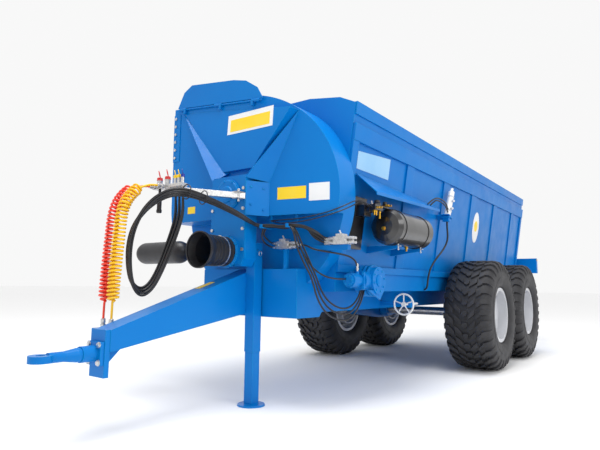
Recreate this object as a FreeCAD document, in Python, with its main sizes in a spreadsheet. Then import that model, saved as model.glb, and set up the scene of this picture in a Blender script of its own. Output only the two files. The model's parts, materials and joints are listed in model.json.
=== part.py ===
import FreeCAD, Part
import math
import os
from types import SimpleNamespace

from FreeCAD import Placement, Rotation, Vector

# Towed side-discharge spreader.
# Row frame, millimetres: X to the machine's left, Y to the rear, Z up, ground at Z = 0.

os.makedirs("parts", exist_ok=True)
doc = FreeCAD.newDocument("spreader")

# ---------------------------------------------------------------- driving dimensions

SIZES = {
    # wheels and bogie
    "overall_width": 2550.0,
    "tyre_diameter": 1244.0,
    "tyre_width": 525.0,
    "rim_diameter": 572.0,
    "rim_wall": 12.0,
    "axle_spacing": 1350.0,
    "bogie_centre": 1372.0,
    "pivot_height": 600.0,
    "pivot_radius": 55.0,
    "beam_width": 110.0,
    "beam_height": 230.0,
    "stub_radius": 45.0,
    "drum_radius": 205.0,
    "drum_width": 170.0,
    "hub_radius": 105.0,
    "stud_circle": 280.0,
    # hopper
    "hopper_front": -1973.0,
    "hopper_length": 5631.0,
    "hopper_floor": 886.0,
    "knee_rise": 214.0,
    "hopper_height": 1514.0,
    "floor_half": 680.0,
    "top_half": 870.0,
    "wall": 8.0,
    "cap_height": 92.0,
    "cap_width": 62.0,
    "rail_below_top": 302.0,
    "rail_height": 135.0,
    "rib_width": 160.0,
    "rib_pitch": 978.0,
    "rib_count": 5.0,
    "rib_start": 1058.0,
    "rib_depth": 16.0,
    "bulkhead_rise": 120.0,
    # moving floor
    "floor_shaft_radius": 30.0,
    "floor_shaft_rise": 92.0,
    "floor_shaft_inset": 330.0,
    "sprocket_radius": 70.0,
    "chain_offset": 420.0,
    "slat_pitch": 420.0,
    "slat_height": 40.0,
    # rotor and housing
    "rotor_height": 1643.0,
    "housing_radius": 862.0,
    "housing_depth": 387.0,
    "housing_sweep": 160.0,
    "recess_top": 1480.0,
    "recess_depth": 240.0,
    "rotor_radius": 800.0,
    "rotor_shaft_radius": 35.0,
    "blade_width": 88.0,
    "blade_wall": 12.0,
    "blade_count": 6.0,
    "corner_top": 2560.0,
    "flap_height": 222.0,
    "flap_wall": 6.0,
    # gearbox and power input
    "case_half": 185.0,
    "case_depth": 140.0,
    "case_bottom": 1075.0,
    "case_top": 1800.0,
    "input_height": 1190.0,
    "stub_shaft_radius": 17.45,
    "stub_shaft_length": 130.0,
    "journal_radius": 22.0,
    "shield_mouth": 140.0,
    "shield_root": 112.0,
    "shield_length": 300.0,
    "shield_wall": 5.0,
    # chassis and drawbar
    "box_half": 510.0,
    "box_depth": 400.0,
    "box_front": -2250.0,
    "box_under": 101.0,
    "box_top": 1060.0,
    "rail_offset": 340.0,
    "rail_width": 80.0,
    "rail_depth": 180.0,
    "drawbar_width": 160.0,
    "plate_front": -3580.0,
    "plate_width": 152.0,
    "plate_wall": 33.0,
    "plate_bottom": 371.0,
    "plate_top": 654.0,
    "eye_height": 514.0,
    "eye_reach": 345.0,
    "eye_bore": 25.0,
    "eye_radius": 65.0,
    "eye_thickness": 40.0,
    "shank_radius": 30.0,
    # parking stand
    "stand_size": 90.0,
    "stand_wall": 4.0,
    "stand_centre": -2310.0,
    "stand_top": 1260.0,
    "sleeve_bottom": 410.0,
    "leg_top": 800.0,
    "foot_radius": 110.0,
    "foot_wall": 12.0,
    # air tank and side gear
    "tank_radius": 150.0,
    "tank_length": 780.0,
    "tank_front": -1620.0,
    "tank_offset": 930.0,
    "tank_height": 1430.0,
    "handwheel_radius": 110.0,
    # clearances
    "running": 0.05,
    "seat": 0.3,
    "slide_gap": 0.4,
}

sheet = doc.addObject("Spreadsheet::Sheet", "sizes")
for row, (alias, value) in enumerate(SIZES.items(), 1):
    sheet.set("A%d" % row, alias)
    sheet.set("B%d" % row, str(value))
    sheet.setAlias("B%d" % row, alias)
doc.recompute()
s = SimpleNamespace(**{alias: float(sheet.get(alias)) for alias in SIZES})

# Places that follow from the sizes above.
hopper_rear = s.hopper_front + s.hopper_length
hopper_top = s.hopper_floor + s.hopper_height
hopper_knee = s.hopper_floor + s.knee_rise
housing_front = s.hopper_front - s.housing_depth
case_front = housing_front - s.case_depth
tyre_centre = (s.overall_width - s.tyre_width) / 2
tyre_inner = s.overall_width / 2 - s.tyre_width
wheel_height = s.tyre_diameter / 2
front_axle = s.bogie_centre - s.axle_spacing / 2
rear_axle = s.bogie_centre + s.axle_spacing / 2
beam_outer = tyre_inner - 40.0
beam_inner = beam_outer - s.beam_width
box_bottom = s.rotor_height - s.housing_radius - s.box_under
half_length = -(s.plate_front - s.eye_reach - s.eye_radius)
shaft_height = s.hopper_floor + s.floor_shaft_rise
front_shaft = s.hopper_front + s.floor_shaft_inset
rear_shaft = hopper_rear - s.floor_shaft_inset / 2

KEPT = []


def wall_x(z):
    """Outside half width of the hopper at height z."""
    if z <= hopper_knee:
        return s.floor_half
    share = (z - hopper_knee) / (hopper_top - hopper_knee)
    return s.floor_half + share * (s.top_half - s.floor_half)


# ---------------------------------------------------------------- construction helpers


def keep(obj, label):
    """Names an object as one of the part's nodes."""
    obj.Label = label
    KEPT.append(obj)
    return obj


def bind(obj, **props):
    """Sets each property, as an expression on the sheet where it is text."""
    for name, value in props.items():
        if isinstance(value, str):
            obj.setExpression(name, value)
        else:
            setattr(obj, name, value)
    return obj


def at(obj, x=0.0, y=0.0, z=0.0, rotation=None):
    obj.Placement = Placement(Vector(x, y, z), rotation or Rotation())
    return obj


def box(name, length, width, height, x, y, z):
    obj = doc.addObject("Part::Box", name)
    bind(obj, Length=length, Width=width, Height=height)
    return at(obj, x, y, z)


TURNS = {
    "X": Rotation(Vector(0, 1, 0), 90),
    "Y": Rotation(Vector(1, 0, 0), -90),
    "Z": Rotation(),
}


def rod(name, axis, radius, height, x, y, z):
    """Cylinder that starts at a point and runs along a row axis."""
    obj = doc.addObject("Part::Cylinder", name)
    bind(obj, Radius=radius, Height=height)
    return at(obj, x, y, z, TURNS[axis])


def fuse(name, parts):
    obj = doc.addObject("Part::MultiFuse", name)
    obj.Shapes = parts
    return obj


def cut(name, base, tool):
    obj = doc.addObject("Part::Cut", name)
    obj.Base = base
    obj.Tool = tool
    return obj


def common(name, first, second):
    obj = doc.addObject("Part::MultiCommon", name)
    obj.Shapes = [first, second]
    return obj


def mirrored(name, source):
    """Copy on the machine's other side."""
    obj = doc.addObject("Part::Mirroring", name)
    obj.Source = source
    obj.Normal = Vector(1, 0, 0)
    return obj


def feature(name, shape):
    obj = doc.addObject("Part::Feature", name)
    obj.Shape = shape
    return obj


def origin_plane(body, role):
    return [item for item in body.Origin.OriginFeatures if item.Role == role][0]


def sketch_on(body, name, role, offset):
    sketch = body.newObject("Sketcher::SketchObject", name)
    sketch.AttachmentSupport = [(origin_plane(body, role), "")]
    sketch.MapMode = "FlatFace"
    sketch.AttachmentOffset = Placement(Vector(0, 0, offset), Rotation())
    return sketch


def outline(sketch, points):
    corners = [Vector(a, b, 0) for a, b in points]
    for first, last in zip(corners, corners[1:] + corners[:1]):
        sketch.addGeometry(Part.LineSegment(first, last), False)


def prism(name, role, points, start, length, holes=()):
    """PartDesign plate or bar: an outline on an origin plane, padded along the plane's normal axis.

    The pad covers start to start + length on the row's own axis.
    holes lists (a, b, radius) in the outline's plane.
    """
    body = doc.addObject("PartDesign::Body", name)
    size = s.__dict__.get(length, length) if isinstance(length, str) else length
    offset = -(start + size) if role == "XZ_Plane" else start
    sketch = sketch_on(body, name + "_outline", role, offset)
    outline(sketch, points)
    for a, b, radius in holes:
        sketch.addGeometry(Part.Circle(Vector(a, b, 0), Vector(0, 0, 1), radius), False)
    pad = body.newObject("PartDesign::Pad", name + "_pad")
    pad.Profile = sketch
    if isinstance(length, str):
        pad.setExpression("Length", "sizes." + length)
    else:
        pad.Length = length
    body.Tip = pad
    return body


def turned(name, profile, angle_axis="X"):
    """PartDesign revolution about the row's X or Y axis.

    profile lists (along the axis, radius) pairs.
    """
    body = doc.addObject("PartDesign::Body", name)
    role = "XZ_Plane" if angle_axis == "X" else "YZ_Plane"
    sketch = sketch_on(body, name + "_profile", role, 0.0)
    outline(sketch, profile)
    turn = body.newObject("PartDesign::Revolution", name + "_turn")
    turn.Profile = sketch
    turn.ReferenceAxis = (sketch, ["H_Axis"])
    turn.Angle = 360.0
    body.Tip = turn
    return body


def ngon(radius, sides, a=0.0, b=0.0, turn=0.0):
    step = 2 * math.pi / sides
    return [(a + radius * math.cos(turn + i * step), b + radius * math.sin(turn + i * step))
            for i in range(sides)]


BOLT_HEADS = []
BRACKETS = []


def hex_heads(label, places, radius, depth, direction):
    """Hexagon heads standing on a face, one closed solid for each place."""
    solids = []
    for place in places:
        ring = [Vector(radius * math.cos(k * math.pi / 3), radius * math.sin(k * math.pi / 3), 0)
                for k in range(6)]
        head = Part.Face(Part.makePolygon(ring + ring[:1])).extrude(Vector(0, 0, depth))
        head.Placement = Placement(Vector(*place), Rotation(Vector(0, 0, 1), Vector(*direction)))
        solids.append(head)
    return keep(feature(label, Part.makeCompound(solids)), label)


# ---------------------------------------------------------------- chassis, drawbar and hitch


def chassis():
    top = s.hopper_floor
    length = hopper_rear - 150.0 - (s.box_front + s.box_depth)
    rails = [
        box(side, "sizes.rail_width", length, "sizes.rail_depth",
            sign * s.rail_offset - s.rail_width / 2, s.box_front + s.box_depth, top - s.rail_depth)
        for side, sign in (("rail_left", 1), ("rail_right", -1))
    ]
    reach = 2 * s.rail_offset - s.rail_width
    ties = [
        box("tie_%d" % i, reach, 80.0, 120.0, -reach / 2, y, top - 150.0)
        for i, y in enumerate((-900.0, 200.0, 2600.0, 3300.0))
    ]
    y0 = s.box_front
    y1 = y0 + s.box_depth
    side = [(y0, box_bottom), (y1 - 90.0, box_bottom), (y1, box_bottom + 100.0), (y1, s.box_top),
            (y0, s.box_top)]
    front = prism("front_box", "YZ_Plane", side, -s.box_half, 2 * s.box_half)
    saddle = rod("saddle", "Y", s.housing_radius + s.seat, 1000.0,
                 0.0, housing_front + s.recess_depth - s.seat, s.rotor_height)
    under = box("floor_relief", 1800.0, 400.0, 900.0, -900.0, s.hopper_front - s.seat, s.hopper_floor)
    seated = cut("front_box_seated", front, fuse("box_reliefs", [saddle, under]))
    return keep(fuse("chassis_frame", [seated] + rails + ties), "chassis_frame")


def drawbar():
    rear = s.box_front
    front = s.plate_front + s.plate_wall
    side = [
        (front, s.plate_bottom + 150.0),
        (rear, box_bottom + 40.0),
        (rear, s.box_top),
        (front, s.plate_top - 2.0),
    ]
    beam = prism("drawbar_beam", "YZ_Plane", side, -s.drawbar_width / 2, "drawbar_width")

    half = s.plate_width / 2
    plate = prism("headplate_plate", "XZ_Plane",
                  [(-half, s.plate_bottom), (half, s.plate_bottom), (half, s.plate_top),
                   (-half, s.plate_top)],
                  s.plate_front, "plate_wall")
    gusset = prism("headplate_gusset", "YZ_Plane",
                   [(front, s.plate_bottom + 40.0), (front + 150.0, s.plate_bottom + 181.0),
                    (front, s.plate_bottom + 150.0 - s.seat)], -10.0, 20.0)
    keep(fuse("drawbar_form", [beam, plate, gusset]), "drawbar")


def hitch():
    z = s.eye_height
    face = s.plate_front
    flange = box("flange_plate", 140.0, 25.0, 140.0, -70.0, face - 25.0, z - 70.0)
    barrel = rod("barrel", "Y", 48.0, 90.0, 0.0, face - 115.0, z)
    bore = rod("barrel_bore", "Y", s.shank_radius + s.running, 200.0, 0.0, face - 150.0, z)
    keep(cut("hitch_flange", fuse("flange_body", [flange, barrel]), bore), "hitch_flange")
    spots = [(sx * 52.0, face - 25.0, z + sz * 52.0) for sx in (-1, 1) for sz in (-1, 1)]
    BOLT_HEADS.extend(spots)

    centre = face - s.eye_reach
    ring = rod("ring", "Z", "sizes.eye_radius", "sizes.eye_thickness", 0.0, centre, z - s.eye_thickness / 2)
    shank = rod("shank", "Y", "sizes.shank_radius", -centre + face - 45.0, 0.0, centre + 40.0, z)
    collar = rod("shank_collar", "Y", 42.0, 20.0, 0.0, face - 135.5, z)
    neck = doc.addObject("Part::Cone", "neck")
    bind(neck, Radius1=28.0, Radius2=42.0, Height=90.0)
    at(neck, 0.0, face - 225.5, z, TURNS["Y"])
    hole = rod("ring_bore", "Z", "sizes.eye_bore", 200.0, 0.0, centre, z - 100.0)
    keep(cut("hitch_eye", fuse("eye_body", [ring, shank, collar, neck]), hole), "hitch_eye")


def stand():
    half = s.stand_size / 2
    x = s.drawbar_width / 2 + half
    y = s.stand_centre
    inner = half - s.stand_wall
    height = s.stand_top - s.sleeve_bottom
    outer = box("sleeve_tube", "sizes.stand_size", "sizes.stand_size", height, x - half, y - half,
                s.sleeve_bottom)
    bore = box("sleeve_bore", 2 * inner, 2 * inner, height, x - inner, y - inner, s.sleeve_bottom - 10.0)
    lug = box("sleeve_lug", 22.0, s.box_front - y - half, 220.0, x - half, y + half, 830.0)
    pin_hole = rod("sleeve_pin_hole", "X", 10.0 + s.running, 300.0, x - 150.0, y, s.stand_top - 60.0)
    sleeve = cut("stand_tube", fuse("sleeve_body", [outer, lug]), fuse("sleeve_bores", [bore, pin_hole]))

    leg = inner - s.slide_gap
    tube = box("leg_tube", 2 * leg, 2 * leg, s.leg_top - s.foot_wall, x - leg, y - leg, s.foot_wall)
    foot = doc.addObject("Part::Cone", "foot_plate")
    bind(foot, Radius1="sizes.foot_radius", Radius2="sizes.foot_radius - 5", Height="sizes.foot_wall")
    at(foot, x, y, 0.0)
    keep(fuse("stand_leg", [tube, foot]), "stand_leg")

    pin = rod("pin_rod", "X", 10.0 + s.running, s.stand_size + 4.0, x - half + s.seat, y, s.stand_top - 60.0)
    head = rod("pin_head", "X", 17.0, 9.0, x + half, y, s.stand_top - 60.0)
    keep(fuse("stand_sleeve", [sleeve, pin, head]), "stand_sleeve")


# ---------------------------------------------------------------- hopper


def hopper_profile(inset, top):
    low = s.floor_half - inset
    high = wall_x(top) - inset
    floor = s.hopper_floor + inset
    return [(-low, floor), (low, floor), (low, hopper_knee), (high, top), (-high, top), (-low, hopper_knee)]


def hopper():
    back = s.hopper_length - s.wall
    outer = prism("hopper_outer", "XZ_Plane", hopper_profile(0.0, hopper_top), s.hopper_front + s.wall,
                  back - s.wall)
    share = (s.top_half - s.floor_half) / (hopper_top - hopper_knee)
    inner_low = s.floor_half - s.wall
    inner_high = wall_x(hopper_top) - s.wall + share * 50.0
    floor = s.hopper_floor + s.wall
    inside = [(-inner_low, floor), (inner_low, floor), (inner_low, hopper_knee),
              (inner_high, hopper_top + 50.0), (-inner_high, hopper_top + 50.0), (-inner_low, hopper_knee)]
    inner = prism("hopper_inner", "XZ_Plane", inside, s.hopper_front - 50.0, s.hopper_length + 100.0)
    holes = [
        rod("shaft_hole_%d" % i, "X", s.floor_shaft_radius + 8.0, 2000.0, -1000.0, y, shaft_height)
        for i, y in enumerate((front_shaft, rear_shaft))
    ]
    trough = cut("hopper_trough", outer, fuse("hopper_cuts", [inner] + holes))

    def wall_strip(name, low, high, out, start, length):
        """Strip that lies on the sloping outside of the left wall."""
        points = [(wall_x(low), low), (wall_x(low) + out, low), (wall_x(high) + out, high),
                  (wall_x(high), high)]
        return prism(name, "XZ_Plane", points, start, length)

    ribs = []
    rail_bottom = hopper_top - s.rail_below_top
    for i in range(int(s.rib_count)):
        start = s.hopper_front + s.rib_start + i * s.rib_pitch
        ribs.append(wall_strip("rib_%d" % i, hopper_knee, rail_bottom, s.rib_depth, start, "rib_width"))
    posts = [
        wall_strip("post_front", hopper_knee, rail_bottom, s.rib_depth + 6.0, s.hopper_front + s.wall, 90.0),
        wall_strip("post_rear", hopper_knee, rail_bottom, s.rib_depth + 6.0, hopper_rear - s.wall - 70.0,
                   70.0),
    ]
    left_ribs = fuse("ribs_left", ribs + posts)
    keep(fuse("hopper_ribs", [left_ribs, mirrored("ribs_right", left_ribs)]), "hopper_ribs")

    start = s.hopper_front + s.wall
    length = s.hopper_length - 2 * s.wall
    cap_low = hopper_top - s.cap_height
    cap = prism("cap", "XZ_Plane",
                [(wall_x(cap_low), cap_low), (wall_x(cap_low) + 14.0, cap_low),
                 (s.top_half + 14.0, hopper_top + 8.0), (s.top_half + 14.0 - s.cap_width, hopper_top + 8.0),
                 (s.top_half + 14.0 - s.cap_width, hopper_top), (s.top_half, hopper_top)],
                start, length)
    rail = wall_strip("rail", rail_bottom + s.seat, rail_bottom + s.rail_height, 26.0, start, length)
    sill = wall_strip("sill", hopper_knee - 60.0, hopper_knee - s.seat, 26.0, start, length)
    left_rail = fuse("side_rail_left", [cap, rail, sill])
    keep(fuse("side_rails", [left_rail, mirrored("side_rail_right", left_rail)]), "side_rails")

    rear = prism("rear_wall", "XZ_Plane", hopper_profile(0.0, hopper_top), hopper_rear - s.wall, "wall")
    bars = [box("rear_bar_%d" % i, 2 * s.floor_half - 60.0, 40.0, 70.0, -s.floor_half + 30.0, hopper_rear, z)
            for i, z in enumerate(s.hopper_floor + rise for rise in (194.0, 614.0, 1014.0, 1414.0))]
    keep(fuse("hopper_shell", [trough, rear] + bars), "hopper_shell")


def bulkhead():
    half = s.top_half
    rise = s.bulkhead_rise
    low = s.floor_half
    points = [(-low, s.hopper_floor), (low, s.hopper_floor), (low, hopper_knee), (half, hopper_top),
              (half * 0.83, hopper_top + rise * 0.6), (half * 0.48, hopper_top + rise),
              (-half * 0.48, hopper_top + rise), (-half * 0.83, hopper_top + rise * 0.6),
              (-half, hopper_top), (-low, hopper_knee)]
    plate = prism("bulkhead_plate", "XZ_Plane", points, s.hopper_front, "wall")
    disc = rod("bulkhead_disc", "Y", "sizes.housing_radius", "sizes.wall", 0.0, s.hopper_front,
               s.rotor_height)
    port = rod("bulkhead_port", "Y", s.rotor_radius - 60.0, 100.0, 0.0, s.hopper_front - 50.0, s.rotor_height)
    keep(cut("bulkhead", fuse("bulkhead_body", [plate, disc]), port), "bulkhead")


def moving_floor():
    floor = s.hopper_floor + s.wall
    reach = s.floor_half + 70.0
    for label, y in (("floor_shaft", front_shaft), ("floor_idler", rear_shaft)):
        shaft = rod(label + "_bar", "X", "sizes.floor_shaft_radius", 2 * reach, -reach, y, shaft_height)
        wheels = [
            prism(label + "_sprocket_%d" % i, "YZ_Plane",
                  ngon(s.sprocket_radius, 8, y, shaft_height, math.pi / 8), x - 15.0, 30.0)
            for i, x in enumerate((-s.chain_offset, s.chain_offset))
        ]
        keep(fuse(label, [shaft] + wheels), label)
    housings = []
    for i, y in enumerate((front_shaft, rear_shaft)):
        for sign in (-1, 1):
            x = s.floor_half if sign > 0 else -s.floor_half - 40.0
            block = box("bearing_%d_%d" % (i, sign), 40.0, 150.0, 110.0, x, y - 75.0, shaft_height - 55.0)
            bore = rod("bearing_bore_%d_%d" % (i, sign), "X", s.floor_shaft_radius + s.running, 60.0,
                       x - 10.0, y, shaft_height)
            housings.append(cut("bearing_cut_%d_%d" % (i, sign), block, bore))
    BRACKETS.extend(housings)

    count = int((rear_shaft - front_shaft - 300.0) / s.slat_pitch)
    start = front_shaft + 150.0
    bars = [
        box("slat_%d" % i, 2 * (s.floor_half - s.wall - 12.0), 50.0, "sizes.slat_height",
            -(s.floor_half - s.wall - 12.0), start + i * s.slat_pitch, floor + s.seat)
        for i in range(count)
    ]
    keep(fuse("floor_slats", bars), "floor_slats")


# ---------------------------------------------------------------- rotor housing and rotor


def housing_solid(name, inset):
    """Space inside the rotor housing's outside faces, drawn in by inset."""
    radius = s.housing_radius - inset
    x0 = -radius
    joint = 110.0
    top = math.sqrt(radius * radius - joint * joint) + s.rotor_height
    length = s.housing_depth + 100.0
    drum = rod(name + "_drum", "Y", radius, length, 0.0, housing_front + inset, s.rotor_height)
    corner = prism(name + "_corner", "XZ_Plane",
                   [(x0, s.rotor_height), (0.0, s.rotor_height), (joint, top), (x0, s.corner_top - inset)],
                   housing_front + inset, length)
    far = s.housing_radius + 20.0
    fold = HOUSING_FOLD
    front = housing_front + inset
    swept = face_y(far) + inset
    plan = prism(name + "_plan", "XY_Plane",
                 [(-far, front), (fold, front), (far, swept), (far, front + length), (-far, front + length)],
                 0.0, 2 * s.rotor_height)
    recess = box(name + "_recess", 2 * far, s.recess_depth, s.recess_top + inset, -far,
                 housing_front + inset, 0.0)
    return cut(name, common(name + "_whole", fuse(name + "_form", [drum, corner]), plan), recess)


HOUSING_FOLD = 100.0


def face_y(x):
    """Front face of the rotor housing, which is swept back left of its fold."""
    if x <= HOUSING_FOLD:
        return housing_front
    return housing_front + s.housing_sweep * (x - HOUSING_FOLD) / (s.housing_radius - HOUSING_FOLD)


def tetrahedron(a, b, c, d):
    faces = [Part.Face(Part.makePolygon([p, q, r, p]))
             for p, q, r in ((a, b, c), (a, b, d), (a, c, d), (b, c, d))]
    solid = Part.Solid(Part.Shell(faces))
    if solid.Volume < 0:
        solid.reverse()
    return solid


def housing():
    outer = housing_solid("housing_outer", 0.0)
    inner = housing_solid("housing_inner", s.wall)
    back = box("housing_back", 4 * s.housing_radius, 2 * s.housing_depth, 2 * s.rotor_height,
               -2 * s.housing_radius, s.hopper_front, 0.0)
    mouth = box("discharge_mouth", 400.0, 2 * s.housing_depth - 400.0, 400.0,
                -s.housing_radius + 12.0, housing_front + 30.0, s.corner_top - 180.0)
    hole = rod("housing_shaft_hole", "Y", s.rotor_shaft_radius + 12.0, 60.0, 0.0, housing_front - 30.0,
               s.rotor_height)
    keep(cut("rotor_housing", outer, fuse("housing_cuts", [inner, back, mouth, hole])), "rotor_housing")

    case_top = s.case_top
    foot = s.case_half + 95.0
    wedges = []
    for name, peak, inner in (("right", (0.615 * s.housing_radius, s.corner_top - 240.0), HOUSING_FOLD),
                              ("left", (-0.86 * s.housing_radius, s.corner_top - 60.0), -120.0)):
        side = 1.0 if inner > 0 else -1.0
        top = Vector(peak[0], face_y(peak[0]), peak[1])
        toe = Vector(side * s.case_half, case_front, case_top - 30.0)
        outside = Vector(side * foot, face_y(side * foot), case_top - 55.0)
        inside = Vector(inner, housing_front, case_top + 70.0)
        wedges.append(feature("hood_wedge_" + name, tetrahedron(top, toe, outside, inside)))
        wedges.append(prism("hood_side_" + name, "XY_Plane",
                            [(side * s.case_half, case_front), (side * foot, face_y(side * foot)),
                             (side * s.case_half, face_y(side * s.case_half))], s.recess_top - 7.0,
                             case_top - 55.0 - s.recess_top + 7.0))
    slope = prism("hood_slope", "YZ_Plane",
                  [(housing_front, s.corner_top - 60.0), (housing_front - 40.0, case_top + 70.0),
                   (s.hopper_front, case_top + 70.0), (s.hopper_front, s.corner_top - 60.0)],
                  -s.housing_radius, 2 * s.housing_radius)
    sheet_outline = prism("hood_outline", "XZ_Plane",
                          [(-200.0, case_top + 70.0), (165.0, case_top + 70.0),
                           (0.60 * s.housing_radius, s.corner_top - 245.0),
                           (-0.84 * s.housing_radius, s.corner_top - 60.0)],
                          housing_front - 100.0, s.housing_depth)
    middle = cut("hood_middle", common("hood_sheet", slope, sheet_outline), housing_solid("hood_seat", 0.0))
    clear = box("hood_case_room", 2 * (s.case_half + s.seat), s.case_depth + 40.0, case_top + s.seat,
                -s.case_half - s.seat, case_front - 40.0, 0.0)
    hood = keep(cut("discharge_hood", fuse("hood_form", wedges + [middle]), clear), "discharge_hood")
    strip_low = s.rotor_height + 410.0
    strip_high = s.corner_top - 60.0
    BRACKETS.append(box("corner_strip", 84.0, 6.0, strip_high - strip_low, -s.housing_radius,
                        housing_front - 6.0,
                        strip_low))
    for i in range(6):
        share = (i + 0.5) / 6
        BOLT_HEADS.append((-s.housing_radius + 30.0, housing_front - 6.0,
                           strip_low + share * (strip_high - strip_low)))
    doc.recompute()
    return hood


FLAP_A = (-0.94 * s.housing_radius, s.corner_top - 17.0)
FLAP_B = (0.268 * s.housing_radius, s.corner_top - 127.0)


def flap_line(share):
    """Point on the flap's hinge line."""
    x = FLAP_A[0] + share * (FLAP_B[0] - FLAP_A[0])
    z = FLAP_A[1] + share * (FLAP_B[1] - FLAP_A[1])
    return Vector(x, housing_front - 14.0, z)


def flap(hood):
    along = (flap_line(1.0) - flap_line(0.0)).normalize()
    up = Vector(-along.z, 0, along.x)
    y = Vector(0, 1, 0)
    length = (flap_line(1.0) - flap_line(0.0)).Length
    tall = s.flap_height

    def corner(distance, height):
        return flap_line(0.0) + along * distance + up * height

    ring = [corner(length * share, height) for share, height in
            ((0.0, 14.0), (0.062, tall * 0.724), (0.153, tall), (0.66, tall * 0.92), (0.80, tall * 0.82),
             (0.93, tall * 0.5), (1.0, 14.0))]
    plate = Part.Face(Part.makePolygon(ring + ring[:1])).extrude(y * s.flap_wall)
    low, high = length * 0.17, length * 0.64
    lip = Part.Face(Part.makePolygon([corner(low, tall - 12), corner(low, tall - 18),
                                      corner(high, tall * 0.92 - 18), corner(high, tall * 0.92 - 12),
                                      corner(low, tall - 12)])).extrude(y * 30.0)
    shape = plate.fuse(lip)
    pin = Part.makeCylinder(7.0, length - 20.0, corner(10, 0), along)
    lugs = []
    for share in (0.06, 0.5, 0.94):
        knuckle = Part.makeCylinder(13.0, 60.0, corner(length * share - 30.0, 0), along)
        tab = Part.Face(Part.makePolygon([corner(length * share + a, b) for a, b in
                                          ((-30, 0), (30, 0), (30, 20), (-30, 20),
                                           (-30, 0))])).extrude(y * s.flap_wall)
        shape = shape.fuse(knuckle).fuse(tab)
        lug_start = corner(length * share + 31.0 if share < 0.9 else length * share - 56.0, 0)
        lug = Part.makeCylinder(13.0, 24.0, lug_start, along)
        foot = Part.makeBox(24.0, 26.0, 40.0)
        foot.translate(Vector(0, -12.0, -40.0))
        foot.rotate(Vector(), Vector(0, 1, 0), math.degrees(math.atan2(-along.z, along.x)))
        foot.translate(lug_start)
        lugs.append(lug.fuse(foot))
    bore = Part.makeCylinder(7.0 + s.running, length + 40.0, corner(-20, 0), along)
    keep(feature("discharge_flap", shape.cut(bore)), "discharge_flap")
    carrier = lugs[0].multiFuse(lugs[1:]).cut(bore).cut(housing_block()).cut(hood.Shape)
    keep(feature("flap_hinge", Part.makeCompound([carrier, pin])), "flap_hinge")
    return along


def housing_block():
    """Plain block behind the housing's front face, which trims what is welded on it."""
    block = Part.makeBox(4 * s.housing_radius, 2 * s.housing_depth, 2 * s.rotor_height)
    block.translate(Vector(-2 * s.housing_radius, housing_front, 0.0))
    return block


def rotor():
    z = s.rotor_height
    hub_start = housing_front + s.recess_depth + s.wall + 16.0
    shaft_start = housing_front - 60.0
    shaft = rod("rotor_bar", "Y", "sizes.rotor_shaft_radius", hub_start + 70.0 - shaft_start, 0.0,
                shaft_start, z)
    disc = rod("rotor_disc", "Y", 320.0, 12.0, 0.0, hub_start, z)
    boss = rod("rotor_boss", "Y", 90.0, 80.0, 0.0, hub_start, z)

    blades = []
    start = hub_start + 12.0
    wall = s.blade_wall
    for i in range(int(s.blade_count)):
        root = 95.0
        tip = s.rotor_radius
        bent = [(root, 0.0), (tip * 0.72, 0.0), (tip * 0.985, 90.0), (tip * 0.985 - 8.0, 90.0 + wall),
                (tip * 0.72 - 6.0, wall), (root, wall)]
        blade = prism("blade_%d" % i, "XZ_Plane", bent, 0.0, "blade_width")
        blade.Placement = Placement(Vector(0.0, start, z),
                                    Rotation(Vector(0, 1, 0), i * 360.0 / s.blade_count))
        blades.append(blade)
    keep(fuse("rotor", [shaft, disc, boss] + blades), "rotor")


# ---------------------------------------------------------------- gearbox and power input


def gearbox():
    half = s.case_half
    low = s.case_bottom
    top = s.case_top
    points = [(-half + 40.0, low), (half - 40.0, low), (half, low + 60.0), (half, top), (-half, top),
              (-half, low + 60.0)]
    case = prism("case_body", "XZ_Plane", points, case_front + 16.0, housing_front - case_front - 16.0)
    boss = rod("output_boss", "Y", 110.0, 30.0, 0.0, case_front + 20.0, s.rotor_height)
    output = rod("output_bore", "Y", s.rotor_shaft_radius + s.running, 60.4, 0.0, housing_front - 60.2,
                 s.rotor_height)
    inlet = rod("input_bore", "Y", s.journal_radius + 5.0, 60.0, 0.0, case_front, s.input_height)
    keep(cut("gearbox_case", fuse("case_solid", [case, boss]), fuse("case_bores", [output, inlet])),
         "gearbox_case")

    edge = 14.0
    cover = [(-half + 30.0, low + edge), (half - 30.0, low + edge), (half, low + 70.0), (half, top - edge),
             (-half, top - edge), (-half, low + 70.0)]
    plate = prism("gearbox_cover", "XZ_Plane", cover, case_front, 16.0,
                  holes=[(0.0, s.input_height, s.journal_radius + s.running)])
    keep(plate, "gearbox_cover")
    spots = []
    for z in (low + 130.0, low + 290.0, low + 450.0, low + 610.0):
        spots += [(-half + 18.0, case_front, z), (half - 18.0, case_front, z)]
    BOLT_HEADS.extend(spots)

    tip = case_front - s.stub_shaft_length
    undercut = 13.0
    bar = rod("stub_bar", "Y", "sizes.stub_shaft_radius", s.stub_shaft_length - undercut, 0.0, tip,
              s.input_height)
    neck = rod("stub_neck", "Y", 16.0, undercut + 4.0, 0.0, case_front - undercut - 2.0, s.input_height)
    journal = rod("stub_journal", "Y", "sizes.journal_radius", 48.0, 0.0, case_front + 2.0, s.input_height)
    keep(fuse("pto_stub", [bar, neck, journal]), "pto_stub")

    end = case_front
    start = end - s.shield_length
    wall = s.shield_wall
    mouth = s.shield_mouth
    root = s.shield_root
    lip = start + 20.0
    waist = start + 75.0
    profile = [(start, mouth - wall), (start, mouth), (lip, mouth), (waist, root + 6.0), (end, root),
               (end, root - wall), (waist, root + 6.0 - wall), (lip, mouth - wall)]
    shield = turned("pto_shield", profile, "Y")
    at(shield, 0.0, 0.0, s.input_height)
    keep(shield, "pto_shield")


# ---------------------------------------------------------------- bogie and wheels


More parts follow.
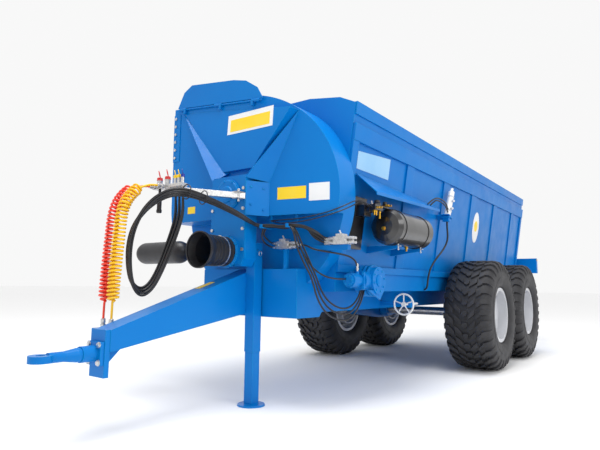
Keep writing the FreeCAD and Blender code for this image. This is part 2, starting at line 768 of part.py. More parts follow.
def bogie():
    y = s.bogie_centre
    z = s.pivot_height
    reach = beam_outer + 24.0
    keep(rod("pivot_shaft", "X", "sizes.pivot_radius", 2 * reach, -reach, y, z), "pivot_shaft")

    hangers = []
    outer = beam_inner - 12.0
    for sign in (-1, 1):
        x0 = outer - 100.0 if sign > 0 else -outer
        plate = prism("hanger_%d" % sign, "YZ_Plane",
                      [(y - 260.0, s.hopper_floor), (y - 110.0, z - 40.0), (y - 60.0, z - 90.0),
                       (y + 60.0, z - 90.0),
                       (y + 110.0, z - 40.0), (y + 260.0, s.hopper_floor)], x0, 100.0)
        hangers.append(plate)
    bore = rod("hanger_bore", "X", s.pivot_radius + s.running, 2 * reach, -reach, y, z)
    keep(cut("bogie_hangers", fuse("hanger_pair", hangers), bore), "bogie_hangers")

    drop = wheel_height - z
    half = s.axle_spacing / 2
    tall = s.beam_height / 2
    side = [(y - half - 90.0, z + drop - 70.0), (y - 130.0, z - tall), (y + 130.0, z - tall),
            (y + half + 90.0, z + drop - 70.0), (y + half + 90.0, z + drop + 70.0),
            (y + 130.0, z + tall - 10.0),
            (y - 130.0, z + tall - 10.0), (y - half - 90.0, z + drop + 70.0)]
    bar = prism("beam_bar", "YZ_Plane", side, beam_inner, "beam_width")
    stub_end = tyre_inner + s.drum_width + 60.0
    stubs = [rod("stub_%d" % i, "X", "sizes.stub_radius", stub_end - beam_outer + 20.0, beam_outer - 20.0,
                 place,
                 wheel_height) for i, place in enumerate((front_axle, rear_axle))]
    pivot = rod("beam_bore", "X", s.pivot_radius + s.running, 400.0, beam_inner - 100.0, y, z)
    left = cut("beam_left", fuse("beam_form", [bar] + stubs), pivot)
    keep(left, "bogie_beam_left")
    keep(mirrored("beam_right", left), "bogie_beam_right")


def tyre_profile():
    half = s.tyre_width / 2
    outer = s.tyre_diameter / 2
    bead = s.rim_diameter / 2 + s.seat
    lip = s.rim_diameter / 2 + 22.0
    foot = half - 42.0 - 10.0 - s.seat
    right = [
        (foot, bead), (foot, lip + 4.0), (half - 10.0, lip + 48.0), (half, outer * 0.71),
        (half - 5.0, outer * 0.84),
        (half - 22.0, outer * 0.93), (half - 48.0, outer * 0.972), (half - 95.0, outer - 4.0),
    ]
    inside = [
        (half - 90.0, outer * 0.92), (half - 48.0, outer * 0.86), (half - 26.0, outer * 0.71),
        (half - 38.0, lip + 44.0), (foot - 26.0, lip + 6.0), (foot - 26.0, bead),
    ]
    left = [(-a, r) for a, r in reversed(right)]
    inside_left = [(-a, r) for a, r in reversed(inside)]
    return right + [(0.0, outer)] + left + inside_left + inside


def rim_profile():
    half = s.tyre_width / 2 - 42.0
    seat = s.rim_diameter / 2
    wall = s.rim_wall
    lip = seat + 22.0
    well = seat - 40.0
    disc = 60.0
    eye = s.hub_radius - 20.0
    knee = s.hub_radius + 90.0
    return [
        (-half, lip), (-half + 10.0, lip), (-half + 10.0, seat), (-half + 110.0, seat),
        (-half + 130.0, well), (half - 130.0, well), (half - 110.0, seat), (half - 10.0, seat),
        (half - 10.0, lip), (half, lip), (half, seat - wall), (half - 104.0, seat - wall),
        (half - 124.0, well - wall), (disc + wall + 16.0, well - wall), (disc + wall, knee),
        (disc + wall, eye), (disc, eye), (disc, knee), (disc + 14.0, well - wall),
        (-half + 124.0, well - wall), (-half + 104.0, seat - wall), (-half, seat - wall),
    ]


def hub_profile():
    """Hub with its brake drum, measured from the tyre's middle plane."""
    back = tyre_inner + 22.0 - tyre_centre
    drum = back + s.drum_width
    disc = 60.0
    bore = s.stub_radius + s.running
    end = tyre_inner + s.drum_width + 60.0 - tyre_centre
    nose = disc + 95.0
    return [
        (back, s.drum_radius - 12.0), (back, s.drum_radius), (drum, s.drum_radius),
        (drum, s.hub_radius + 20.0),
        (disc - 24.0, s.hub_radius), (disc - 24.0, s.hub_radius + 70.0), (disc, s.hub_radius + 70.0),
        (disc, s.hub_radius - 22.0), (nose - 10.0, s.hub_radius - 30.0), (nose, s.hub_radius - 42.0),
        (nose, 0.0), (end + 6.0, 0.0), (end + 6.0, bore), (back + 20.0, bore),
        (back + 20.0, s.hub_radius - 20.0),
        (drum - 14.0, s.hub_radius - 10.0), (drum - 14.0, s.drum_radius - 12.0),
    ]


def nuts_shape():
    disc = 60.0 + s.rim_wall
    solids = []
    for i in range(10):
        angle = i * math.pi / 5
        ring = [Vector(0, 15.0 * math.cos(k * math.pi / 3), 15.0 * math.sin(k * math.pi / 3))
                for k in range(6)]
        nut = Part.Face(Part.makePolygon(ring + ring[:1])).extrude(Vector(20.0, 0, 0))
        radius = s.stud_circle / 2
        nut.translate(Vector(disc, radius * math.cos(angle), radius * math.sin(angle)))
        solids.append(nut)
    return Part.makeCompound(solids)


def wheels():
    nuts = nuts_shape()
    for side, sign in (("left", 1), ("right", -1)):
        for end, y in (("front", front_axle), ("rear", rear_axle)):
            tag = "%s_%s" % (side, end)
            turn = Rotation(Vector(0, 0, 1), 0 if sign > 0 else 180)
            for kind, profile in (("tyre", tyre_profile()), ("rim", rim_profile()), ("hub", hub_profile())):
                body = turned("%s_turned_%s" % (kind, tag), profile, "X")
                at(body, sign * tyre_centre, y, wheel_height, turn)
                if kind == "rim":
                    group = feature("nuts_" + tag, nuts.copy())
                    at(group, sign * tyre_centre, y, wheel_height, turn)
                    body = fuse("rim_with_nuts_" + tag, [body, group])
                keep(body, "%s_%s" % (kind, tag))


# ---------------------------------------------------------------- air brakes, hydraulics and side gear


def air_tank():
    radius = s.tank_radius
    end = s.tank_length
    dome = 70.0
    profile = [(0.0, 0.0), (8.0, radius * 0.5), (30.0, radius * 0.83), (dome, radius), (end - dome, radius),
               (end - 30.0, radius * 0.83), (end - 8.0, radius * 0.5), (end, 0.0)]
    tank = turned("air_tank", profile, "Y")
    at(tank, s.tank_offset, s.tank_front, s.tank_height)
    keep(tank, "air_tank")

    straps = []
    brackets = []
    for i, shift in enumerate((130.0, 600.0)):
        y = s.tank_front + shift
        ring = rod("strap_ring_%d" % i, "Y", radius + 5.0, 36.0, s.tank_offset, y, s.tank_height)
        hole = rod("strap_hole_%d" % i, "Y", radius + s.seat, 60.0, s.tank_offset, y - 10.0, s.tank_height)
        straps.append(cut("strap_%d" % i, ring, hole))
        low = s.tank_height - radius - 5.0
        inner = wall_x(low - 60.0)
        brackets.append(prism("bracket_%d" % i, "XZ_Plane",
                              [(inner, low - 60.0), (s.tank_offset + 60.0, low - 22.0),
                               (s.tank_offset + 60.0, low - s.seat), (wall_x(low - s.seat), low - s.seat)],
                               y, 36.0))
    keep(fuse("tank_straps", straps), "tank_straps")
    BRACKETS.extend(brackets)


def side_panel():
    """Sloping cover over the brake valves, on the left wall behind the bulkhead."""
    start = s.hopper_front + s.wall + 100.0
    stand_off = s.rib_depth + s.seat
    rings = []
    foot = s.tank_height + s.tank_radius + 70.0
    for y, low, high, out in ((start, foot, foot + 200.0, s.tank_offset + 70.0),
                              (start + 1610.0, foot + 68.0, foot + 150.0, s.tank_offset - 30.0)):
        inner = wall_x(high) + stand_off
        rings.append(Part.makePolygon([Vector(x, y, z) for x, z in
                                       ((inner, high), (out, low + 26.0), (out, low), (out - 6.0, low),
                                        (out - 6.0, low + 20.0), (inner, high - 9.0), (inner, high))]))
    keep(feature("side_cover", Part.makeLoft(rings, True, True)), "side_cover")
    low = s.tank_height - 195.0
    high = s.tank_height + 230.0
    outline_points = [(wall_x(low), low), (wall_x(low) + 34.0, low), (wall_x(high) + 34.0, high),
                      (wall_x(high), high)]
    panel = prism("panel_box", "XZ_Plane", outline_points, start, 210.0)
    y = start + 50.0
    base = s.tank_height + 70.0
    face = wall_x(base) + 20.0
    body = box("valve_body", 100.0, 110.0, 90.0, face, y, base)
    knobs = [rod("knob_%d" % i, "X", 16.0, 35.0, face + 100.0, y + 30.0 + 50.0 * i, base + 45.0)
             for i in range(2)]
    keep(fuse("valve_panel", [panel, body] + knobs), "valve_panel")


def floor_drive():
    """Hydraulic motor and ribbed reducer on the left end of the floor shaft."""
    y = front_shaft
    z = shaft_height
    inner = s.floor_half + 40.0
    centre = inner + 90.0
    body = rod("reducer_body", "X", 112.0, 180.0, inner, y, z)
    ribs = [rod("reducer_rib_%d" % i, "X", 126.0, 12.0, inner + 24.0 + 34.0 * i, y, z) for i in range(4)]
    throat = rod("reducer_throat", "Y", 78.0, 190.0, centre, y - 190.0, z)
    bore = rod("reducer_bore", "X", s.floor_shaft_radius + s.running, 60.0, inner - 10.0, y, z)
    keep(cut("floor_reducer", fuse("reducer_form", [body, throat] + ribs), bore), "floor_reducer")
    flange = box("motor_flange", 130.0, 22.0, 130.0, centre - 65.0, y - 212.0, z - 65.0)
    motor = rod("motor_can", "Y", 56.0, 120.0, centre, y - 332.0, z)
    cap = rod("motor_cap", "Y", 44.0, 20.0, centre, y - 352.0, z)
    ports = [rod("motor_port_%d" % i, "Z", 14.0, 70.0, centre + 26.0 * k, y - 250.0, z)
             for i, k in enumerate((-1, 1))]
    keep(fuse("floor_motor", [flange, motor, cap] + ports), "floor_motor")


def spool_valves():
    """Two spool valve blocks: one on a post on the chassis box, one on a shelf at the housing's step."""
    blocks = []
    for i, (x, y, z) in enumerate((front_valve(), side_valve())):
        block = box("spool_block_%d" % i, 120.0, 70.0, 60.0, x, y, z)
        spools = [rod("spool_%d_%d" % (i, k), "X", 10.0, 190.0, x - 35.0, y + 35.0, z + 12.0 + 18.0 * k)
                  for k in range(3)]
        blocks += [block] + spools
    keep(fuse("spool_valves", blocks), "spool_valves")
    x, y, z = front_valve()
    BRACKETS.append(box("valve_post", 30.0, 30.0, z - s.box_top, x + 45.0, s.box_front + 2.0, s.box_top))
    x, y, z = side_valve()
    BRACKETS.append(box("valve_shelf", 300.0, 45.0, 40.0, x - 190.0, y + 30.0, z - 40.0))


def front_valve():
    return 330.0, s.box_front - 30.0, s.box_top + 155.0


def side_valve():
    return s.housing_radius - 62.0, housing_front + s.recess_depth - 75.0, s.recess_top - 240.0


def rail_front():
    """Front face of the coupler rail."""
    return case_front - 540.0


RAIL_TOP = s.case_top - 148.0
RAIL_WALL = 24.0
AIR_PLACES = (-215.0, -125.0)
AIR_SHELF = s.plate_top - 14.0
OIL_PLACES = (-40.0, 0.0, 40.0)


def hose_arm():
    """Arm with the coupler rail, carried by the gearbox cover."""
    front = rail_front()
    low = RAIL_TOP - RAIL_WALL
    root = s.case_half - 30.0
    tip = -122.0
    plan = [(root - 28.0, case_front), (root + 28.0, case_front), (tip + 28.0, front + 30.0),
            (tip - 28.0, front + 30.0)]
    arm = prism("arm_bar", "XY_Plane", plan, low - 28.0, 44.0)
    rail = box("arm_rail", 320.0, 60.0, RAIL_WALL, -260.0, front, low)
    bodies = []
    caps = []
    for i, x in enumerate(AIR_PLACES + OIL_PLACES):
        radius = 20.0 if x in AIR_PLACES else 13.0
        bodies.append(rod("coupler_%d" % i, "Z", radius, 44.0, x, front + 32.0, RAIL_TOP))
        caps.append(rod("cap_%d" % i, "Z", radius + 3.0, 24.0, x, front + 32.0, RAIL_TOP + 44.0))
    keep(fuse("hose_arm", [arm, rail] + bodies), "hose_arm")
    keep(fuse("coupler_caps", caps), "coupler_caps")


HOOK_SHELF = s.recess_top - 110.0
HOOK_REACH = 122.0
HOOKS = ((280.0, 60.0), (500.0, 105.0))


def hooks():
    """Square hooks under the housing's front edge that carry the hydraulic hoses."""
    for i, (x, back) in enumerate(HOOKS):
        y = housing_front + back
        BRACKETS.append(box("hook_stem_%d" % i, 24.0, 8.0, s.recess_top - HOOK_SHELF, x - 12.0, y,
                            HOOK_SHELF))
        BRACKETS.append(box("hook_shelf_%d" % i, 24.0, HOOK_REACH, 8.0, x - 12.0, y - HOOK_REACH, HOOK_SHELF))
        BRACKETS.append(box("hook_lip_%d" % i, 24.0, 8.0, 30.0, x - 12.0, y - HOOK_REACH, HOOK_SHELF))


def parking_brake():
    """Hand wheel and screw on the left chassis rail."""
    side = s.rail_offset + s.rail_width / 2
    reach = 300.0
    x = side + reach
    y = -620.0
    z = s.hopper_floor - 129.0
    nut = box("brake_block", 70.0, 60.0, 70.0, x - 35.0, y, z - 35.0)
    arm = box("brake_arm", reach - 35.0, 50.0, 40.0, side, y + 5.0, z - 20.0)
    bore = rod("brake_bore", "Y", 12.0 + s.running, 200.0, x, y - 50.0, z)
    BRACKETS.append(cut("brake_bracket", fuse("brake_form", [nut, arm]), bore))
    screw = rod("wheel_screw", "Y", 12.0, 330.0, x, y - 90.0, z)
    rim = doc.addObject("Part::Torus", "wheel_rim")
    bind(rim, Radius1="sizes.handwheel_radius - 9", Radius2=9.0)
    at(rim, x, y - 80.0, z, TURNS["Y"])
    boss = rod("wheel_boss", "Y", 22.0, 26.0, x, y - 93.0, z)
    spokes = []
    for i in range(5):
        angle = i * 2 * math.pi / 5 + math.pi / 2
        spoke = doc.addObject("Part::Cylinder", "spoke_%d" % i)
        bind(spoke, Radius=6.0, Height="sizes.handwheel_radius - 9")
        direction = Vector(math.cos(angle), 0, math.sin(angle))
        spoke.Placement = Placement(Vector(x, y - 80.0, z), Rotation(Vector(0, 0, 1), direction))
        spokes.append(spoke)
    keep(fuse("handwheel", [screw, rim, boss] + spokes), "handwheel")


def sensor_and_tube():
    """White reservoir leaning on the left wall, and black document tube beside the gearbox."""
    z = hopper_top - 700.0
    lean = Rotation(Vector(1, 0, 0), -28.0)
    base = Vector(wall_x(z + 380.0) + s.rib_depth + 44.0, 0.0, z)
    inner = wall_x(z + 24.0)
    shelf = doc.addObject("Part::Box", "reservoir_shelf")
    bind(shelf, Length=base.x + 40.0 - inner, Width=90.0, Height=10.0)
    shelf.Placement = Placement(Vector(inner, base.y, base.z) + lean.multVec(Vector(0, -45.0, -10.0)), lean)
    BRACKETS.append(shelf)
    can = rod("reservoir_can", "Z", 34.0, 330.0, 0.0, 0.0, 0.0)
    neck = rod("reservoir_neck", "Z", 16.0, 50.0, 0.0, 0.0, 330.0)
    group = fuse("reservoir_body", [can, neck])
    group.Placement = Placement(base, lean)
    keep(group, "white_reservoir")

    radius = 92.0
    y = case_front - 120.0
    x0, x1 = -s.case_half - 653.0, -s.case_half - 237.0
    ends = []
    for i, x in enumerate((x0, x1)):
        ball = doc.addObject("Part::Sphere", "document_cap_%d" % i)
        bind(ball, Radius=radius)
        ends.append(at(ball, x, y, s.input_height))
    tube = rod("document_can", "X", radius, x1 - x0, x0, y, s.input_height)
    keep(fuse("document_tube", [tube] + ends), "document_tube")
    low = s.input_height - 30.0
    seat_y = y + radius + s.seat
    BRACKETS.append(box("document_arm", 300.0, 20.0, 60.0, -s.case_half - 300.0, case_front + 40.0, low))
    BRACKETS.append(box("document_cleat", 40.0, case_front + 60.0 - seat_y, 60.0, -s.case_half - 300.0,
                        seat_y, low))


def lights():
    """Rear light bar on two arms behind the rear wall."""
    bar_front = half_length - 90.0
    base = s.hopper_floor + 289.0
    height = 250.0
    bar = box("light_bar_beam", 2000.0, 70.0, height, -1000.0, bar_front, base)
    foot = s.hopper_floor + 199.0
    tie = hopper_rear + 40.0
    arms = [prism("light_arm_%d" % i, "YZ_Plane",
                  [(tie, foot), (bar_front + 5.0, base), (bar_front + 5.0, base + height - 20.0),
                   (tie, foot + 60.0)], x - 30.0, 60.0)
            for i, x in enumerate((-500.0, 500.0))]
    keep(fuse("light_bar", [bar] + arms), "light_bar")
    lamps = []
    for i, x in enumerate((-840.0, 840.0)):
        lamps.append(box("lamp_%d" % i, 180.0, 20.0, 100.0, x - 90.0, bar_front + 70.0, base + 75.0))
    keep(fuse("rear_lamps", lamps), "rear_lamps")


# ---------------------------------------------------------------- hoses


def cord_wire(points):
    """Straight runs joined by tangent arcs, with the tightest radius of the bends."""
    points = [Vector(*point) for point in points]
    edges = []
    tightest = None
    start = points[0]
    for before, corner, after in zip(points, points[1:], points[2:]):
        back = (before - corner)
        ahead = (after - corner)
        short = min(back.Length, ahead.Length)
        back.normalize()
        ahead.normalize()
        half_turn = (math.pi - back.getAngle(ahead)) / 2
        reach = 0.45 * short
        radius = reach / math.tan(half_turn)
        tightest = radius if tightest is None else min(tightest, radius)
        first = corner + back * reach
        last = corner + ahead * reach
        inward = (back + ahead).normalize()
        middle = corner + inward * (radius / math.cos(half_turn) - radius)
        edges.append(Part.LineSegment(start, first).toShape())
        edges.append(Part.Arc(first, middle, last).toShape())
        start = last
    edges.append(Part.LineSegment(start, points[-1]).toShape())
    return Part.Wire(edges), tightest


def cord(label, diameter, points):
    wire, tightest = cord_wire(points)
    direction = Vector(*points[1]) - Vector(*points[0])
    ring = Part.Wire(Part.Circle(Vector(*points[0]), direction, diameter / 2).toShape())
    solid = wire.makePipeShell([ring], True, True)
    section = math.pi * diameter * diameter / 4
    print("%s: length %.0f, tightest radius %.1f diameters, volume share %.4f"
          % (label, wire.Length, tightest / diameter, solid.Volume / (section * wire.Length)))
    keep(feature(label, solid), label)


def air_route(x):
    """Hanging curve from the coupler rail down to the bracket on the drawbar's right side."""
    front = rail_front()
    rail = RAIL_TOP - RAIL_WALL / 2
    return [
        (x, front, rail), (x, front - 113.0, rail), (x, front - 217.0, rail - 43.0),
        (x, front - 297.0, rail - 123.0),
        (x, front - 340.0, rail - 227.0), (x, front - 352.0, rail - 400.0), (x, front - 366.0, rail - 620.0),
        (x, front - 374.0, rail - 840.0), (x, front - 374.0, AIR_SHELF),
    ]


def oil_route(k):
    """Big loop in front of the gearbox, then over both hooks to the side valve."""
    front = rail_front()
    x, y, z = side_valve()
    rest = HOOK_SHELF + 8.0 + 20.0
    hook_a = (HOOKS[0][0], housing_front + HOOKS[0][1] - 52.0 - 26.0 * k)
    hook_b = (HOOKS[1][0], housing_front + HOOKS[1][1] - 52.0 - 26.0 * k)
    low = RAIL_TOP - RAIL_WALL
    return [
        (40.0 * k, front + 40.0, low), (40.0 * k, front + 40.0, low - 75.0),
        (-20.0 + 38.0 * k, front + 72.0, low - 190.0), (-70.0 + 34.0 * k, front + 72.0, low - 328.0),
        (-98.0 + 30.0 * k, front + 36.0, low - 478.0),
        (-104.0 + 30.0 * k, front - 22.0 - 4.0 * k, low - 618.0 - 4.0 * k),
        (-106.0 + 30.0 * k, front - 92.0 - 6.0 * k, low - 728.0 - 12.0 * k),
        (-106.0 + 30.0 * k, front - 176.0 - 12.0 * k, low - 770.0 - 20.0 * k),
        (-106.0 + 30.0 * k, front - 250.0 - 12.0 * k, low - 708.0 - 16.0 * k),
        (-104.0 + 30.0 * k, front - 286.0 - 12.0 * k, low - 578.0 - 6.0 * k),
        (-98.0 + 30.0 * k, front - 296.0 - 12.0 * k, low - 428.0),
        (-70.0 + 30.0 * k, front - 276.0 - 12.0 * k, low - 283.0 + 6.0 * k),
        (-10.0 + 30.0 * k, front - 222.0 - 16.0 * k, low - 160.0 + 14.0 * k),
        (60.0 + 30.0 * k, front - 142.0 - 12.0 * k, low - 78.0 + 18.0 * k),
        (105.0 + 30.0 * k, front - 45.0, low - 48.0 + 14.0 * k),
        (120.0 + 28.0 * k, front + 80.0, low - 56.0 + 8.0 * k),
        (134.0 + 28.0 * k, front + 205.0, low - 78.0 + 4.0 * k),
        (152.0 + 28.0 * k, front + 325.0, low - 108.0),
        (196.0 + 24.0 * k, front + 446.0 - 4.0 * k, low - 156.0),
        (226.0 + 18.0 * k, front + 535.0 - 14.0 * k, low - 198.0),
        (hook_a[0] - 54.0 + 14.0 * k, hook_a[1] - 24.0 - 2.0 * k, rest - 4.0),
        (hook_a[0] + 55.0, hook_a[1] + 14.0, rest + 2.0), (hook_a[0] + 135.0, hook_a[1] + 34.0, rest - 16.0),
        (hook_b[0], hook_b[1], rest), (hook_b[0] + 100.0, hook_b[1] + 40.0, rest - 12.0),
        (x - 160.0 + 20.0 * k, y - 10.0 - 6.0 * k, z + 90.0 + 16.0 * k),
        (x - 110.0 + 4.0 * k, y + 27.0 - 6.0 * k, z + 43.0 + 19.0 * k),
        (x - 60.0, y + 35.0, z + 30.0 + 18.0 * k), (x - 35.0, y + 35.0, z + 30.0 + 18.0 * k),
    ]


def hoses():
    for label, x in zip(("air_hose_red", "air_hose_yellow"), AIR_PLACES):
        cord(label, 84.0, air_route(x))
    for i, k in enumerate((-1.0, 0.0, 1.0)):
        cord("oil_hose_%d" % (i + 1), 16.0, oil_route(k))
    motor_x = s.floor_half + 130.0 - 26.0
    port = shaft_height + 70.0
    y = front_shaft - 250.0
    x, valve_y, z = front_valve()
    cord("motor_hose", 14.0, [
        (motor_x + 52.0, y, port), (motor_x + 52.0, y, port + 64.0), (motor_x + 40.0, y - 60.0, port + 106.0),
        (motor_x + 24.0, y - 157.0, port + 124.0), (motor_x - 44.0, y - 270.0, port + 140.0),
        (motor_x - 140.0, y - 335.0, port + 158.0), (x + 250.0, valve_y + 35.0, z + 30.0),
        (x + 155.0, valve_y + 35.0, z + 30.0),
    ])
    half = s.drawbar_width / 2
    BRACKETS.append(box("air_bracket", 184.0, 96.0, 25.0, -half - 184.0, rail_front() - 422.0,
                        AIR_SHELF - 25.0))


chassis()
drawbar()
hitch()
stand()
hopper()
bulkhead()
moving_floor()
flap_axis = flap(housing())
rotor()
gearbox()
bogie()
wheels()
air_tank()
side_panel()
floor_drive()
spool_valves()
hose_arm()
hooks()
parking_brake()
sensor_and_tube()
lights()
hoses()
hex_heads("hex_bolts", BOLT_HEADS, 14.0, 11.0, (0, -1, 0))
keep(fuse("brackets", BRACKETS), "brackets")
doc.recompute()

# ---------------------------------------------------------------- checks and export

faults = [item.Label for item in doc.Objects if "Invalid" in item.State or "Error" in item.State]
if faults:
    raise RuntimeError("failed objects: %s" % ", ".join(faults))

for item in KEPT:
    if item.Shape.isNull() or not item.Shape.isValid():
        raise RuntimeError("bad shape: %s" % item.Label)

whole = Part.makeCompound([item.Shape for item in KEPT]).BoundBox
print("nodes %d" % len(KEPT))
print("box X %.1f %.1f Y %.1f %.1f Z %.1f %.1f" % (whole.XMin, whole.XMax, whole.YMin, whole.YMax,
                                                   whole.ZMin, whole.ZMax))
print("flap hinge %s along %s" % (flap_line(0.0), flap_axis))
for item in KEPT:
    item.Shape.exportStep("parts/%s.step" % item.Label)
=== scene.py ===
import json
import math

import bmesh
import bpy
from mathutils import Matrix, Vector


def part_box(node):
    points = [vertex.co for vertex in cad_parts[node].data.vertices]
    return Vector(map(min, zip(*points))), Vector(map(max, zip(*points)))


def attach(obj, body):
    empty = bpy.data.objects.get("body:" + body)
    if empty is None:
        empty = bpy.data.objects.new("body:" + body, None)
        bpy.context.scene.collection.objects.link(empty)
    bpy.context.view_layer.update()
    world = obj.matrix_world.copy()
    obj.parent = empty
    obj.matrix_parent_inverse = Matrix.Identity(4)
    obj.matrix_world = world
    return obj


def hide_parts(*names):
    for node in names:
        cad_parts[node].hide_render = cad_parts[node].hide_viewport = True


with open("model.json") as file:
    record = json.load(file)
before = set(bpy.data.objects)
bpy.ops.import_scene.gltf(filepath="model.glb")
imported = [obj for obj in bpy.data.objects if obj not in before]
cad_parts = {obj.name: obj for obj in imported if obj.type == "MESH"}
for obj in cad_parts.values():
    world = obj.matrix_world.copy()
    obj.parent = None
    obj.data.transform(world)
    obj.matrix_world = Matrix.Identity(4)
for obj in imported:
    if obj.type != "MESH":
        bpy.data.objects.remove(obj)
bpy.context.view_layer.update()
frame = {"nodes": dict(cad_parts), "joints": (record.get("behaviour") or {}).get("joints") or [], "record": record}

# ------------------------------------------------------------------ camera, floor and light

CAMERA_PLACE = Vector((2.83, -5.381, 0.942))
CAMERA_TURN = math.radians(36.262)
CAMERA_RISE = math.radians(6.679)
CAMERA_ROLL = math.radians(-0.712)
CAMERA_LENS = 30.3
CAMERA_SENSOR = 36.0
CAMERA_REACH = 200.0
WHITE = (1.0, 1.0, 1.0, 1.0)
SKY_STRENGTH = 0.94
STUDIO_HALF = 90.0
STUDIO_TONE = (0.95, 0.95, 0.95, 1.0)

scene = bpy.context.scene
scene.view_settings.view_transform = "Standard"


def camera():
    """Camera at the photograph's place, looking the same way."""
    turn, rise, roll = CAMERA_TURN, CAMERA_RISE, CAMERA_ROLL
    ahead = Vector((-math.sin(turn) * math.cos(rise), math.cos(turn) * math.cos(rise), math.sin(rise)))
    level = Vector((math.cos(turn), math.sin(turn), 0.0))
    down = ahead.cross(level)
    right = level * math.cos(roll) + down * math.sin(roll)
    up = level * math.sin(roll) - down * math.cos(roll)
    data = bpy.data.cameras.new("camera")
    data.lens = CAMERA_LENS
    data.sensor_width = CAMERA_SENSOR
    data.clip_end = CAMERA_REACH
    eye = bpy.data.objects.new("camera", data)
    eye.matrix_world = Matrix.Translation(CAMERA_PLACE) @ Matrix((right, up, -ahead)).transposed().to_4x4()
    scene.collection.objects.link(eye)
    scene.camera = eye


def light(name, place, target, width, power):
    """Round soft light turned towards a target."""
    data = bpy.data.lights.new(name, "AREA")
    data.shape = "DISK"
    data.size = width
    data.energy = power
    lamp = bpy.data.objects.new(name, data)
    lamp.location = place
    lamp.rotation_mode = "QUATERNION"
    lamp.rotation_quaternion = (Vector(target) - Vector(place)).to_track_quat("-Z", "Y")
    scene.collection.objects.link(lamp)


def studio():
    """Pale sky, two soft lights and a wide plain floor."""
    world = bpy.data.worlds.new("sky")
    world.use_nodes = True
    sky = world.node_tree.nodes["Background"]
    sky.inputs["Color"].default_value = WHITE
    sky.inputs["Strength"].default_value = SKY_STRENGTH
    scene.world = world
    light("overhead", (1.0, -2.5, 9.0), (0.0, 0.0, 1.2), 5.0, 520.0)
    light("side", (8.0, -2.5, 5.0), (0.3, 0.0, 1.2), 4.0, 150.0)
    floor_mesh = bpy.data.meshes.new("floor")
    corners = [(x * STUDIO_HALF, y * STUDIO_HALF, 0) for x, y in ((-1, -1), (1, -1), (1, 1), (-1, 1))]
    floor_mesh.from_pydata(corners, [], [(0, 1, 2, 3)])
    floor = bpy.data.objects.new("floor", floor_mesh)
    scene.collection.objects.link(floor)
    pale = bpy.data.materials.new("floor")
    pale.use_nodes = True
    shader = pale.node_tree.nodes["Principled BSDF"]
    shader.inputs["Base Color"].default_value = STUDIO_TONE
    shader.inputs["Roughness"].default_value = 0.9
    shader.inputs["Specular IOR Level"].default_value = 0.1
    floor_mesh.materials.append(pale)


# ------------------------------------------------------------------ materials


class Surface:
    """A node material whose pattern sits in the piece's own coordinates."""

    EDGE_START, EDGE_FULL = 0.985, 0.90

    def __init__(self, name, roughness, metallic=0.0):
        self.material = bpy.data.materials.new(name)
        self.material.use_nodes = True
        self.nodes = self.material.node_tree.nodes
        self.links = self.material.node_tree.links
        self.shader = self.nodes["Principled BSDF"]
        self.place = self.nodes.new("ShaderNodeTexCoord").outputs["Object"]
        self.shader.inputs["Roughness"].default_value = roughness
        self.shader.inputs["Metallic"].default_value = metallic
        self.normal = None

    def link(self, output, socket):
        self.links.new(output, socket)

    def noise(self, scale, detail=3.0, rough=0.55):
        node = self.nodes.new("ShaderNodeTexNoise")
        node.inputs["Scale"].default_value = scale
        node.inputs["Detail"].default_value = detail
        node.inputs["Roughness"].default_value = rough
        self.link(self.place, node.inputs["Vector"])
        return node.outputs["Fac"]

    def ranged(self, value, low, high, out_low=0.0, out_high=1.0):
        """Carries the span from low to high over to the span of the outputs."""
        node = self.nodes.new("ShaderNodeMapRange")
        span = {"From Min": low, "From Max": high, "To Min": out_low, "To Max": out_high}
        for name, number in span.items():
            node.inputs[name].default_value = number
        self.link(value, node.inputs["Value"])
        return node.outputs["Result"]

    def times(self, a, b):
        node = self.nodes.new("ShaderNodeMath")
        node.operation = "MULTIPLY"
        self.link(a, node.inputs[0])
        if isinstance(b, float):
            node.inputs[1].default_value = b
        else:
            self.link(b, node.inputs[1])
        return node.outputs[0]

    def mix(self, share, first, second):
        node = self.nodes.new("ShaderNodeMix")
        node.data_type = "RGBA"
        self.link(share, node.inputs["Factor"])
        for colour, socket in ((first, node.inputs["A"]), (second, node.inputs["B"])):
            if isinstance(colour, tuple):
                socket.default_value = (*colour, 1.0)
            else:
                self.link(colour, socket)
        return node.outputs["Result"]

    def edges(self, radius):
        """Rounds the edges in the shading and gives a value that is 1 on them."""
        bevel = self.nodes.new("ShaderNodeBevel")
        bevel.samples = 4
        bevel.inputs["Radius"].default_value = radius
        self.normal = bevel.outputs["Normal"]
        geometry = self.nodes.new("ShaderNodeNewGeometry")
        dot = self.nodes.new("ShaderNodeVectorMath")
        dot.operation = "DOT_PRODUCT"
        self.link(geometry.outputs["Normal"], dot.inputs[0])
        self.link(self.normal, dot.inputs[1])
        return self.ranged(dot.outputs["Value"], self.EDGE_START, self.EDGE_FULL)

    def bump(self, height, strength, distance):
        node = self.nodes.new("ShaderNodeBump")
        node.inputs["Strength"].default_value = strength
        node.inputs["Distance"].default_value = distance
        self.link(height, node.inputs["Height"])
        if self.normal:
            self.link(self.normal, node.inputs["Normal"])
        self.normal = node.outputs["Normal"]

    def done(self, colour, roughness=None):
        if isinstance(colour, tuple):
            self.shader.inputs["Base Color"].default_value = (*colour, 1.0)
        else:
            self.link(colour, self.shader.inputs["Base Color"])
        if roughness is not None:
            self.link(roughness, self.shader.inputs["Roughness"])
        if self.normal:
            self.link(self.normal, self.shader.inputs["Normal"])
        return self.material


